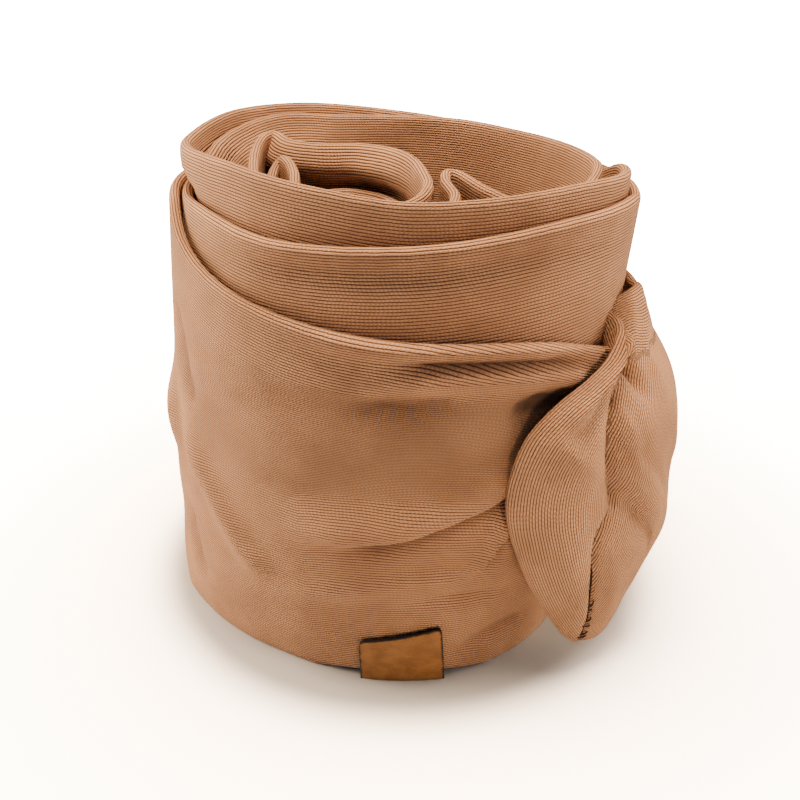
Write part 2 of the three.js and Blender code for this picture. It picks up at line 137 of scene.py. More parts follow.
# Heights of the lower and upper edge along the winding.
HEIGHTS = Table(
    ("turn", "hem", "rim"),
    (
        (-1080, 7, 83.6), (-1035, 6.5, 84.4), (-1010, 6, 85.4), (-970, 6, 86), (-948, 6, 87.2), (-925, 5.5, 86),
        (-900, 5, 84), (-840, 3, 82), (-780, 1.5, 81.2), (-740, 0.8, 78.4), (-715, 0.8, 77.4), (-690, 2, 80.6),
        (-655, 4.5, 84.2), (-630, 6.5, 86.3), (-594, 8, 88.7), (-573, 8.5, 89), (-540, 8, 88), (-500, 8, 88.8),
        (-470, 7, 87.3), (-445, 6, 85.7), (-410, 5.5, 86), (-378, 4.5, 84.3), (-360, 3.5, 83), (-344, 1.5, 79.6),
        (-325, 0.5, 78.6), (-290, 0, 79.4), (-225, 0, 80.9), (-180, -HEM_SINK, 80.8), (-146, -HEM_SINK, 81.4),
        (-115, -HEM_SINK, 79.6), (-90, -HEM_SINK, 80.1), (-50, -HEM_SINK, 81.9), (-27, -HEM_SINK, 81.5),
        (-10, -HEM_SINK, 80), (90, -HEM_SINK, 80.6), (180, -HEM_SINK, 81.1), (200, -HEM_SINK, 80.6),
        (212, -HEM_SINK, 76), (223, -HEM_SINK, 72.8), (238, -HEM_SINK, 70.2), (264, -HEM_SINK, 67.3),
        (289, -HEM_SINK, 65.7), (303, -HEM_SINK, 64), (316, -HEM_SINK, 60.8),
    ),
)

# The loose coil inside the roll, from the band's inner end outwards: the wall's middle and the heights of its edges.
COIL = Table(
    ("x", "y", "hem", "rim"),
    (
        (0.2, -14.5, 34, 77.4), (-0.2, -9.5, 30, 78.2), (-3, -4.8, 27, 78.6), (-8.2, -1.6, 25, 78.8),
        (-12.4, -2.8, 23, 79), (-13.8, -9.4, 21, 79.8), (-13.6, -16.4, 20, 81.4), (-15, -21.4, 19, 82.6),
        (-16.7, -18.6, 18.5, 83.6), (-17.3, -13.5, 18, 84.6), (-18.8, -7.4, 17, 85.2), (-20.6, -3.2, 16.5, 85),
        (-22, -5.6, 16, 83), (-21.4, -12, 15, 82), (-20, -18.6, 14.5, 82), (-17.8, -23.4, 14, 82),
        (-13.2, -26.9, 13, 82.2), (-5.2, -29.2, 12.5, 82.4), (1.4, -28, 12, 83.4), (4.2, -24, 12, 84.8),
        (3.8, -17, 12, 85.6), (2.4, -8.6, 12, 86), (-1.2, -1.8, 11.5, 86.2), (-7.4, 2.4, 11, 86.2),
        (-14, 3.2, 10.5, 86.1), (-19.2, 5.6, 10, 86.2), (-22.2, 10.2, 10, 86.6), (-24.4, 11, 10, 86.7),
        (-25.5, 6.6, 9.5, 86.4), (-25.2, -2.4, 9, 86.2), (-24.3, -11, 8.5, 86), (-23.2, -18, 8.5, 85.4),
        (-21.4, -23.6, 8, 83.6), (-17, -27.5, 8, 82.4), (-8.4, -31.6, 7.5, 82.2), (0.6, -32.9, 7.5, 82.4),
        (6.4, -31.4, 7.5, 83), (8.4, -26.2, 7.5, 84), (7.2, -20.4, 7.5, 84.9), (7.6, -15.6, 7.5, 85.3),
        (9.8, -16.4, 7.5, 85.1), (13.4, -21.6, 7.5, 84), (18.6, -25.6, 7.5, 82.8), (24.6, -23, 7.5, 82.6),
        (29.8, -16.6, 7.2, 83), (33.4, -8.4, 7, 83.4),
    ),
)

WALL = 1.8  # two plies of jersey and the air between them
STRAP_WALL = 1.6
TAIL_WALL = 2.4

# The gathered end and the tail. Each row is a section: angle, radius and height of the wall's middle at the lower
# edge, half way across and at the upper edge; how far its two halves swell out in front; the depth of its gathers.
END = Table(
    ("hem_turn", "hem_r", "hem_z", "mid_turn", "mid_r", "mid_z", "rim_turn", "rim_r", "rim_z", "low_lobe",
     "high_lobe", "pleat", "wall"),
    (
        (306, 37.9, -HEM_SINK, 306, 42.2, 31, 306, 43.1, 63.2, 0, 0, 0.1, WALL),
        (312, 37.2, -HEM_SINK, 312, 42.3, 31.5, 312, 43.1, 61.7, 0, 0, 0.2, WALL),
        (318, 36.6, -HEM_SINK, 318, 42.5, 33, 317.5, 42.9, 60.2, 0, 0, 0.35, WALL),
        (323, 37.4, 5, 323, 42.7, 36.5, 322.5, 42.9, 58.8, 0, 0, 0.45, WALL),
        (328, 39.6, 20, 328, 42.9, 41.5, 328, 42.9, 57.8, 0, 0, 0.5, WALL),
        (333.5, 41.6, 33, 334, 43, 46.5, 334, 42.9, 57.2, 0, 0, 0.45, WALL),
        (340, 42.2, 40.5, 341, 43, 49.5, 341, 42.7, 57, 0, 0, 0.4, WALL),
        (352, 42.2, 42.5, 352, 43, 50, 352, 42.6, 57, 0, 0, 0.35, WALL),
        (364, 42.4, 42.5, 364, 43, 50, 364, 42.7, 57.2, 0, 0, 0.3, WALL),
        (374, 43, 42.5, 374.5, 43.3, 51, 375, 42.9, 59.5, 0, 0, 0.15, WALL),
        (379, 45.2, 42.5, 380.5, 45.4, 52.5, 381.5, 44.4, 62, 0, 0, 0, STRAP_WALL),
        (374, 47.6, 42.8, 376, 47.2, 53, 378, 43.2, 62.9, 0, 0, 0, STRAP_WALL),
        (364.5, 48.8, 43, 367, 47.1, 53.3, 369, 42.4, 62.8, 0.3, 0.2, 0, STRAP_WALL),
        (354, 50.1, 42.8, 357.5, 47, 53.4, 359, 42, 63.2, 0.7, 0.3, 0, STRAP_WALL),
        (344, 51.8, 42.2, 348, 47.2, 53.6, 349.5, 42, 64.4, 1.2, 0.4, 0, STRAP_WALL),
        (337.5, 53.1, 40.6, 338.5, 47.1, 53.9, 340.5, 42.4, 65.2, 1.9, 0.5, 0, STRAP_WALL),
        (333.6, 53.9, 38.3, 330.5, 46.9, 53.9, 332, 43, 65.4, 2.8, 0.6, 0, STRAP_WALL),
        (332, 53.9, 35.4, 324.6, 47, 53.2, 325.5, 44.5, 61.9, 3.2, 0.8, 0, STRAP_WALL),
        (331.2, 54.1, 32.4, 320.2, 47.4, 51, 317.5, 45.6, 58.8, 3.6, 1, 0, STRAP_WALL),
        (330.6, 54.4, 29.5, 317.6, 47.8, 47.5, 309.5, 46.1, 57, 3.8, 1.5, 0, WALL),
        (330, 54.5, 26.6, 316.8, 48.1, 43.2, 301, 46.4, 54.6, 3.8, 2.6, 0, TAIL_WALL),
        (329.2, 54.3, 23.6, 316.6, 48.2, 38.6, 294.6, 46.5, 50.4, 3.8, 4, 0, TAIL_WALL),
        (328.2, 53.5, 20.2, 317, 48.1, 34.2, 291.6, 46.3, 43.5, 3.7, 4.8, 0, TAIL_WALL),
        (327, 52.2, 16.4, 315.8, 48.4, 29.8, 291.6, 45.9, 36.4, 3.4, 4.9, 0, TAIL_WALL),
        (326, 51, 12.6, 313.6, 48.6, 24.8, 294.2, 45.7, 29, 3, 4.4, 0, TAIL_WALL),
        (324.7, 49.8, 9.2, 312.9, 48.8, 19, 298, 45.6, 21.6, 2.5, 3.5, 0, TAIL_WALL),
        (322.7, 49.2, 6.4, 312.9, 48.9, 13.2, 302.6, 45.8, 14.6, 1.8, 2.5, 0, TAIL_WALL),
        (319.8, 49, 4.6, 312.7, 48.8, 8.2, 307.2, 46.5, 8.8, 1, 1.3, 0, TAIL_WALL),
        (316.8, 48.8, 3.6, 313.4, 48.6, 4.8, 310.2, 47.6, 5.2, 0.3, 0.3, 0, WALL),
    ),
)


def smoothstep(value: Array, low: float, high: float) -> Array:
    """Rises smoothly from 0 at low to 1 at high."""
    t = np.clip((value - low) / (high - low), 0.0, 1.0)
    return t * t * (3 - 2 * t)


def polar(turn: Array, radius: Array, z: Array) -> Array:
    """Returns the points at these angles in degrees, radii and heights."""
    angle = np.radians(turn)
    return np.stack([radius * np.cos(angle), radius * np.sin(angle), z + 0 * radius], axis=-1)


def blend(low: Array, mid: Array, high: Array, share: Array) -> Array:
    """Reads the quadratic curve through its values at 0, a half and 1."""
    return low * (1 - share) * (1 - 2 * share) + mid * 4 * share * (1 - share) + high * share * (2 * share - 1)


def catmull_rom(knots: Array, at: Array) -> Array:
    """Reads a smooth curve through knots.

    Args:
        knots: one row for each knot.
        at: places along the curve, counted in knots.

    Returns:
        One row for each place.
    """
    ends = np.vstack([2 * knots[0] - knots[1], knots, 2 * knots[-1] - knots[-2]])
    k = np.clip(np.floor(at).astype(int), 0, len(knots) - 2)
    t = (at - k)[:, None]
    a, b, c, d = (ends[k + i] for i in range(4))
    return b + 0.5 * t * (c - a + t * (2 * a - 5 * b + 4 * c - d + t * (3 * (b - c) + d - a)))


def segment_gap(points: Array, start: Array, end: Array) -> tuple[Array, Array, Array]:
    """Measures how far points in a plane are from a straight stretch, and on which side of it.

    Args:
        points: points in the last axis.
        start: where the stretch starts.
        end: where it ends.

    Returns:
        The distances, numbers that are above 0 where the point is left of the stretch, and how far along the stretch
        its nearest point is.
    """
    along, here = end - start, points - start
    t = np.clip((here @ along) / (along @ along), 0.0, 1.0)
    gap = np.linalg.norm(here - t[..., None] * along, axis=-1)
    return gap, along[0] * here[..., 1] - along[1] * here[..., 0], t


@dataclass(frozen=True)
class Crease:
    """A ridge or a valley in a ply of cloth, along a line drawn on it.

    Attributes:
        path: points of the line, in the two coordinates of the cloth that it belongs to.
        height: how far it stands out, or with a minus sign how deep it is.
        left: how far it reaches to the left of its line, which is up where the line runs to the right.
        right: how far it reaches to the right of its line.
        taper: the shares of its length over which it rises from its start and sinks to its end.
    """

    path: tuple[tuple[float, float], ...]
    height: float
    left: float
    right: float
    taper: tuple[float, float] = (0.3, 0.15)

    def push(self, points: Array, scale: Array) -> Array:
        """Works out how far the crease moves each point outwards.

        Args:
            points: the two coordinates of each point of the cloth, in the last axis.
            scale: millimetres for each unit of the two coordinates.

        Returns:
            Millimetres outwards.
        """
        knots = np.array(self.path, dtype=float) * scale
        pieces = 4 * (len(knots) - 1)
        stops = catmull_rom(knots, np.linspace(0, len(knots) - 1, pieces + 1))
        flat = points * scale
        best = np.full(flat.shape[:-1], np.inf)
        side, where = np.zeros_like(best), np.zeros_like(best)
        for k, (start, end) in enumerate(zip(stops[:-1], stops[1:])):
            gap, turn, share = segment_gap(flat, start, end)
            nearer = gap < best
            best, side = np.where(nearer, gap, best), np.where(nearer, turn, side)
            where = np.where(nearer, (k + share) / pieces, where)
        reach = np.where(side > 0, self.left, self.right)
        rise, sink = self.taper
        ends = smoothstep(where, -0.01, rise) * smoothstep(1 - where, -0.01, sink)
        return self.height * ends * np.exp(-((best / reach) ** 2))


@dataclass
class Strip:
    """Sections of the band in winding order, in millimetres about the roll's axis.

    Attributes:
        edges: for each section the wall's middle at its lower edge, half way across and at its upper edge.
        swell: for each section how far its lower and its upper half swell out, the depth of its gathers and the
            wall's thickness.
        turn: for each section its winding angle.
    """

    edges: Array
    swell: Array
    turn: Array

    @classmethod
    def plain(cls, edges: Array, turn: Array) -> Strip:
        """Makes sections without swellings and gathers."""
        swell = np.tile([0.0, 0.0, 0.0, WALL], (len(edges), 1))
        return cls(edges, swell, turn)

    def __add__(self, more: Strip) -> Strip:
        """Joins two stretches of the band."""
        return Strip(*(np.concatenate(pair) for pair in zip(self.parts(), more.parts())))

    def parts(self) -> tuple[Array, Array, Array]:
        """Returns the arrays that the sections are made of."""
        return self.edges, self.swell, self.turn

    def between(self, at: Array) -> Strip:
        """Reads sections between these ones.

        Args:
            at: places counted in sections.

        Returns:
            A section for each place.
        """
        edges = catmull_rom(self.edges.reshape(len(self.edges), 9), at).reshape(-1, 3, 3)
        index = np.arange(len(self.edges))
        swell = np.stack([np.interp(at, index, column) for column in self.swell.T], axis=-1)
        return Strip(edges, swell, np.interp(at, index, self.turn))

    def points(self, share: Array) -> Array:
        """Returns the points of the wall's middle at shares of the way from the lower to the upper edge."""
        hem, mid, rim = (self.edges[:, None, k] for k in range(3))
        return blend(hem, mid, rim, share[..., None])

    def along(self) -> Array:
        """Returns how far along the band each section is."""
        step = np.linalg.norm(np.diff(self.edges[:, 1], axis=0), axis=-1)
        return np.concatenate([[0.0], np.cumsum(step)])

    def widths(self) -> Array:
        """Returns how wide the sections are."""
        hem, mid, rim = (self.edges[:, k] for k in range(3))
        return np.linalg.norm(mid - hem, axis=-1) + np.linalg.norm(rim - mid, axis=-1)


@dataclass
class Winding:
    """Where the band's sections run: the loose coil, the round turns and the gathered end.

    Attributes:
        turn_pitch: how much the radius grows over a whole turn.
        knot_turn: how far apart the sections are that join the turns to the coil and to the end.
        coil_turn: the winding angle that a row of the coil's table counts as.
        leaning_from: the radius from which the coil leans as much as the roll.
        fine_from: where the turns begin to show in front and have more sections.
        end_close: how far from the band's two ends, in rows, the sections are that round them off.
        label_lift: how far the label lifts the lower edge, over label_span to each side.
    """

    band_width: float = 80.0
    turn_pitch: float = 2.25
    roll_start: float = -1080.0
    roll_end: float = 300.0
    knot_turn: float = 12.0
    coil_turn: float = 10.0
    leaning_from: float = 32.0
    fine_from: float = -450.0
    coarse_step: float = 4.5
    fine_step: float = 2.25
    coil_steps: int = 5
    end_steps: int = 6
    end_close: tuple[float, ...] = (0.015, 0.04, 0.08, 0.13, 0.22)
    label_turn: float = 270.6
    label_lift: float = 1.1 + HEM_SINK
    label_span: float = 22.0

    def outline_radius(self, compass: Array, z: Array) -> Array:
        """Returns the roll's radius without the spiral's growth at compass angles and heights."""
        low, mid, high = (OUTLINE.at(compass, name) for name in ("low", "mid", "high"))
        return blend(low, mid, high, z / self.band_width)

    def roll(self, turn: Array) -> Strip:
        """Makes the sections of the round turns.

        Args:
            turn: their winding angles.

        Returns:
            The sections.
        """
        away = np.abs(turn - self.label_turn) / self.label_span
        lift = self.label_lift * np.sqrt(np.cos(np.minimum(away, 1.0) * math.pi / 2).clip(0.0))
        hem, rim = HEIGHTS.at(turn, "hem") + lift, HEIGHTS.at(turn, "rim")
        spiral = self.turn_pitch * turn / 360
        at = [polar(turn, self.outline_radius(turn % 360, z) + spiral, z) for z in (hem, (hem + rim) / 2, rim)]
        return Strip.plain(np.stack(at, axis=1), turn)

    def coil(self) -> Strip:
        """Makes the sections of the loose coil, which leans with the roll round it, less towards the middle."""
        x, y, hem, rim = (COIL.column(name) for name in COIL.columns)
        compass, radius = np.degrees(np.arctan2(y, x)) % 360, np.hypot(x, y)
        share = np.minimum(radius / self.leaning_from, 1.0)
        at = []
        for z in (hem, (hem + rim) / 2, rim):
            lean = self.outline_radius(compass, z) - self.outline_radius(compass, rim)
            at.append(polar(compass, radius + lean * share, z))
        turn = self.roll_start - self.coil_turn * np.arange(len(x), 0, -1)
        rows = Strip.plain(np.stack(at, axis=1), turn)
        joined = rows + self.roll(self.roll_start + np.array([0.0, self.knot_turn]))
        steps = np.arange(0, len(x), 1 / self.coil_steps)
        return joined.between(np.union1d(steps, self.end_close[:-1]))

    def turns(self) -> Strip:
        """Makes the sections of the round turns, closer together where they show in front."""
        hidden = np.arange(self.roll_start, self.fine_from, self.coarse_step)
        shown = np.arange(self.fine_from, self.roll_end, self.fine_step)
        return self.roll(np.concatenate([hidden, shown]))

    def end(self) -> Strip:
        """Makes the sections of the gathered end, the fold and the tail."""
        at = [
            polar(END.column(f"{edge}_turn"), END.column(f"{edge}_r"), END.column(f"{edge}_z"))
            for edge in ("hem", "mid", "rim")
        ]
        # the band's inner ply faces forward after the fold, so the lobes swell against the outward direction
        signs = {"low_lobe": -1, "high_lobe": -1, "pleat": 1, "wall": 1}
        swell = np.stack([sign * END.column(name) for name, sign in signs.items()], axis=-1)
        turn = self.roll_end + self.knot_turn / 2 * (1 + np.arange(len(END.rows)))
        rows = Strip(np.stack(at, axis=1), swell, turn)
        joined = self.roll(self.roll_end - np.array([self.knot_turn, 0.0])) + rows
        last = len(END.rows) + 1
        steps = np.arange(1, last, 1 / self.end_steps)
        return joined.between(np.union1d(steps, last - np.array([*self.end_close, 0.0])))

    def strip(self) -> Strip:
        """Makes the whole band's sections."""
        return self.coil() + self.turns() + self.end()


@dataclass(frozen=True)
class RollFolds:
    """Folds in the round turns. A crease's line is drawn in winding angles and heights.

    Attributes:
        girth: millimetres of wall for each degree.
        folded: where the ridges of the wall set in.
        fade: where all folds fade out, as the gathered end begins.
        flare: how far the upper edge leans out, by compass angle, over the heights flare_between.
        coil: how the coil's wall, which ends at coil_until, sags over what lies inside it.
        wall: soft ridges that move the whole wall.
        ply: folds of the outer ply alone, which would meet the inner one past the deepest.
    """

    girth: float = 0.74
    folded: tuple[float, float] = (168.0, 192.0)
    fade: tuple[float, float] = (300.0, 322.0)
    flare_between: tuple[float, float] = (80.4, 85.2)
    flare: Table = Table(("compass", "reach"), ((90, 0), (140, 2.4), (190, 2.6), (228, 0)))
    coil: tuple[Crease, ...] = (
        Crease(((-1345, 80.0), (-1320, 80.8), (-1298, 81.3), (-1280, 81.0), (-1262, 80.5)), -3.2, 4.2, 1.2, (0.3, 0.3)),
        Crease(((-1345, 77.0), (-1320, 77.4), (-1298, 77.8), (-1262, 77.2)), 0.8, 1.6, 2.0, (0.3, 0.3)),
    )
    coil_until: float = -1082.0
    wall: tuple[Crease, ...] = (
        Crease(((176, 39.5), (204, 40.5)), 2.0, 7.0, 7.0),
        Crease(((170, 5.0), (200, 8.0)), 0.6, 8.0, 8.0),
        Crease(((170, 28.0), (200, 26.0)), 0.5, 6.0, 6.0),
        Crease(((262, 33.0), (294, 40.0)), 1.0, 6.0, 6.0),
        Crease(((282, 24.0), (298, 33.0)), 0.8, 5.0, 5.0),
        Crease(((262, 65.0), (306, 61.5)), 0.4, 3.0, 3.0),
        Crease(((258, 50.0), (296, 53.0)), 0.4, 5.0, 5.0),
        Crease(((256, 12.0), (290, 14.0)), 0.3, 6.0, 6.0),
    )
    ply: tuple[Crease, ...] = (
        # the rolled upper edge of the outermost turn, the gap under it and the ridge under that
        Crease(((236, 69.0), (260, 66.6), (280, 66.2), (297.8, 64.6), (316, 60.4)), 1.3, 1.7, 1.5),
        Crease(((266, 63.6), (276, 63.4), (285.8, 62.8), (296, 62.0), (305, 60.2), (320, 56.4)), -2.2, 0.7, 0.7),
        Crease(((262, 60.0), (275.7, 61.0), (289.5, 60.6), (303.9, 58.6), (314, 56.0)), 1.6, 1.2, 2.2),
        Crease(((299, 62.0), (305, 60.9), (312, 59.4)), -0.9, 1.0, 1.0),
        # the long soft hollow and the bulge under it
        Crease(((213, 44.7), (231, 51.8), (249.7, 55.1), (270, 57.0), (289.8, 57.6), (306.2, 55)), -0.5, 2.4, 2.4),
        Crease(((258, 55.6), (270, 57.0), (282, 57.4)), -0.6, 1.6, 1.6),
        Crease(((236, 29.6), (252, 31.6), (262, 32.4), (271, 34.4), (281, 37.4), (292, 40.6), (302, 43)), 1.9, 4, 1.3),
        Crease(((246.9, 27.6), (259, 29.2), (268, 30.8), (278, 33.6), (286, 35.8), (294, 37.4), (304, 39)), -1.4, 1.2,
               2.2),
        # short sharp ridge and the dark beside it
        Crease(((284, 22.6), (287.5, 25.4), (290.2, 28.4), (294, 33), (298, 37)), 1.6, 1.5, 0.7, (0.4, 0.1)),
        Crease(((286, 21.6), (290, 25.2), (292.8, 28.6), (296, 32), (301, 36)), -1.4, 0.8, 2.0, (0.4, 0.1)),
        # faint folds low in front
        Crease(((237, 17.9), (251, 18.9), (265.5, 21.8), (276.8, 23), (286.2, 22.6)), 0.8, 1.8, 1.8),
        Crease(((268, 18.4), (281.6, 19.3), (289.1, 18.8), (296, 17.4)), -0.7, 0.9, 1.4),
        Crease(((281, 4.0), (289, 7.2), (297, 8.6), (306, 8.0)), -0.9, 2.2, 2.2),
        # long soft ridge sweeping down from the left
        Crease(((205, 40.2), (212.3, 38.5), (217.9, 34.4), (224.4, 28.2), (231, 22.7), (238, 19)),
               1.5, 2.6, 3.2),
        Crease(((202, 68), (208.9, 59.5), (211.6, 52.9), (215, 46)), -1.1, 2.6, 2.0),
        Crease(((203, 26), (206.5, 15.4), (209.4, 7)), -0.9, 2.0, 2.0),
        Crease(((290, 53.6), (299, 54.6), (306, 54.6), (318, 53)), -2.0, 1.2, 2.2),
        # the turn inside it
        Crease(((-142, 74.0), (-122.9, 75.6), (-99.8, 75.6), (-80.4, 76.2), (-59, 77.6), (-30, 76.0)), -0.8, 1.4, 2.4),
        Crease(((-150, 80.6), (-120, 79.0), (-90, 79.4), (-50, 81.2), (-20, 80.4)), 0.5, 1.3, 1.3),
    )
    deepest: float = -1.5

    def wall_push(self, points: Array, turn: Array) -> Array:
        """Works out how far the whole wall stands out.

        Args:
            points: points of the wall's middle.
            turn: winding angle of each section.

        Returns:
            Millimetres outwards for each point.
        """
        push = self.flare.at(turn % 360, "reach")[:, None] * smoothstep(points[..., 2], *self.flare_between)
        folded = smoothstep(turn, *self.folded)[:, None] * self.total(self.wall, points, turn)
        loose = self.total(self.coil, points, turn)
        return np.where(turn[:, None] < self.coil_until, loose, (push + folded) * self.ending(turn))

    def ply_push(self, points: Array, turn: Array) -> Array:
        """Works out how far the outer ply stands out from the wall, with the same arguments as wall_push."""
        return np.maximum(self.total(self.ply, points, turn), self.deepest) * self.ending(turn)

    def ending(self, turn: Array) -> Array:
        """Returns how much of the folds is left as the gathered end begins."""
        return 1 - smoothstep(turn, *self.fade)[:, None]

    def total(self, creases: tuple[Crease, ...], points: Array, turn: Array) -> Array:
        """Adds up what creases do to the points of sections at these winding angles."""
        scale = np.array([self.girth, 1.0])
        spot = np.stack(np.broadcast_arrays(turn[:, None], points[..., 2]), axis=-1)
        return sum(crease.push(spot, scale) for crease in creases)


# Lines on the tail, in rows of the end's table and shares of the width: the sewn seam from where it can be seen, and
# the dark valley between the two strands of the strap.
SEAM = ((18.8, 0.66), (20, 0.60), (21.7, 0.565), (22.6, 0.58), (23.2, 0.62), (23.8, 0.62), (24.7, 0.60), (26, 0.585),
        (26.8, 0.61), (28, 0.74))
VALLEY = ((16, 1.08), (16.5, 0.97), (16.9, 0.84), (17.1, 0.7), (17.3, 0.56), (17.8, 0.44))


@dataclass(frozen=True)
class TailFolds:
    """Folds in the face of the tail that shows, drawn in the same way.

    Attributes:
        seam: how far across the seam runs, also where it is hidden.
        seam_from: the rows between which the band's middle line moves over to the seam.
        folded: the rows between which the folds set in.
        row_length: millimetres along the band for each row.
        wall: the valley and the ridge beside it, which move the whole wall.
        ply: folds of the ply that shows.
    """

    seam: Table = Table(("row", "share"), ((13, 0.52), (16, 0.58), (18, 0.68), *SEAM))
    seam_from: tuple[float, float] = (10.0, 13.0)
    folded: tuple[float, float] = (13.0, 15.0)
    row_length: float = 4.6
    typical_width: float = 24.0
    wall: tuple[Crease, ...] = (
        Crease(VALLEY, -3.8, 1.5, 1.5, (0.0, 0.3)),
        Crease(((14.9, 1.04), (15.3, 0.85), (15.7, 0.68), (16.2, 0.48), (16.9, 0.33)), 1.0, 1.8, 1.8, (0.0, 0.3)),
    )
    ply: tuple[Crease, ...] = (
        Crease(VALLEY, -1.6, 0.8, 0.8, (0.0, 0.3)),
        Crease(((18.2, 0.69), *SEAM), -0.9, 0.5, 0.5, (0.1, 0.0)),
        # the rolled left edge and the hollow beside it
        Crease(((17.0, 1.0), (17.8, 0.95), (18.7, 0.94), (20, 0.95), (21, 0.97)), 1.4, 1.6, 1.8, (0.1, 0.3)),
        Crease(((18.0, 0.86), (18.6, 0.82), (19.3, 0.82), (20.2, 0.84), (20.7, 0.90)), -1.0, 2.0, 2.0),
        Crease(((20.9, 1.0), (20.9, 0.92), (20.9, 0.81), (21.6, 0.70)), 0.8, 1.8, 1.8, (0.05, 0.4)),
        # the right lobe's swellings and dents
        Crease(((18.6, 0.52), (19.6, 0.60)), 0.6, 2.2, 2.2),
        Crease(((19.4, 0.46), (19.3, 0.30), (19.0, 0.12)), -0.6, 2.0, 2.0),
        Crease(((21.9, 0.44), (22.4, 0.32), (22.2, 0.14)), -0.6, 2.2, 2.2),
        Crease(((20.6, 0.50), (20.9, 0.34), (20.6, 0.14)), 0.4, 2.0, 2.0),
        Crease(((24.0, 0.42), (25.5, 0.36), (26.6, 0.36)), 0.4, 1.8, 1.8),
    )

    def seam_share(self, row: Array) -> Array:
        """Returns how far across the band's middle line is: half way, and on the tail at the seam."""
        return 0.5 + (self.seam.at(row, "share") - 0.5) * smoothstep(row, *self.seam_from)

    def lobe_share(self, row: Array, share: Array) -> Array:
        """Moves shares of the width so that the seam falls half way across.

        Args:
            row: for each section its place in the end's table.
            share: for each point its share of the width.

        Returns:
            The moved shares.
        """
        seam = self.seam_share(row)[:, None]
        return np.where(share < seam, 0.5 * share / seam, 0.5 + 0.5 * (share - seam) / (1 - seam))

    def total(self, creases: tuple[Crease, ...], row: Array, share: Array) -> Array:
        """Adds up how far creases move the points of sections towards the front.

        Args:
            creases: the creases.
            row: for each section its place in the end's table.
            share: for each point its share of the width.

        Returns:
            Millimetres.
        """
        spot = np.stack(np.broadcast_arrays(row[:, None], share), axis=-1)
        scale = np.array([self.row_length, self.typical_width])
        return sum(crease.push(spot, scale) for crease in creases) * smoothstep(row, *self.folded)[:, None]


class Nodes:
    """Adds shader nodes to one tree and links them."""

    def __init__(self, tree: bpy.types.NodeTree) -> None:
        """Starts on a tree."""
        self.tree = tree

    @classmethod
    def of_new(cls, name: str) -> tuple[bpy.types.Material, Nodes]:
        """Makes a material and returns it with what adds its nodes."""
        material = bpy.data.materials.new(name)
        material.use_nodes = True
        return material, cls(material.node_tree)

    def feed(self, node: bpy.types.Node, links: dict) -> None:
        """Gives a node's inputs, by name or number, either a socket to link them to or a value."""
        for name, value in links.items():
            if isinstance(value, bpy.types.NodeSocket):
                self.tree.links.new(value, node.inputs[name])
            else:
                node.inputs[name].default_value = value

    def dress(self, links: dict) -> None:
        """Feeds the material's main shader."""
        self.feed(self.tree.nodes["Principled BSDF"], links)

    def add(self, kind: str, links: dict | None = None, **settings: object) -> bpy.types.Node:
        """Adds a node.

        Args:
            kind: the node's type, without the word ShaderNode in front.
            links: for each input by name or number either a socket to link it to or a value.
            settings: properties of the node itself.

        Returns:
            The node.
        """
        node = self.tree.nodes.new(f"ShaderNode{kind}")
        for name, value in settings.items():
            setattr(node, name, value)
        self.feed(node, links or {})
        return node

    def math(self, operation: str, *values: object) -> bpy.types.NodeSocket:
        """Adds a Math node and returns what it gives."""
        return self.add("Math", dict(enumerate(values)), operation=operation).outputs[0]

    def ramp(self, value: object, low: float, high: float) -> bpy.types.NodeSocket:
        """Returns a smooth rise from 0 to 1 as a value goes from low to high."""
        links = {"Value": value, "From Min": low, "From Max": high}
        return self.add("MapRange", links, interpolation_type="SMOOTHSTEP").outputs["Result"]

    def mix(self, share: object, first: object, second: object) -> bpy.types.NodeSocket:
        """Mixes two colours and returns the result."""
        return self.add("MixRGB", {"Fac": share, "Color1": first, "Color2": second}).outputs["Color"]

    def noise(self, vector: object, scale: float, detail: float = 2.0) -> bpy.types.NodeSocket:
        """Returns a cloudy value from about 0 to 1."""
        return self.add("TexNoise", {"Vector": vector, "Scale": scale, "Detail": detail}).outputs["Fac"]

    def bump(self, height: object, distance: float) -> bpy.types.NodeSocket:
        """Returns the normal of a surface raised by a height times a distance in metres."""
        return self.add("Bump", {"Height": height, "Distance": distance, "Strength": 1.0}).outputs["Normal"]


def opaque(colour: Colour) -> tuple[float, float, float, float]:
    """Returns a colour with full alpha."""
    return (*colour, 1.0)


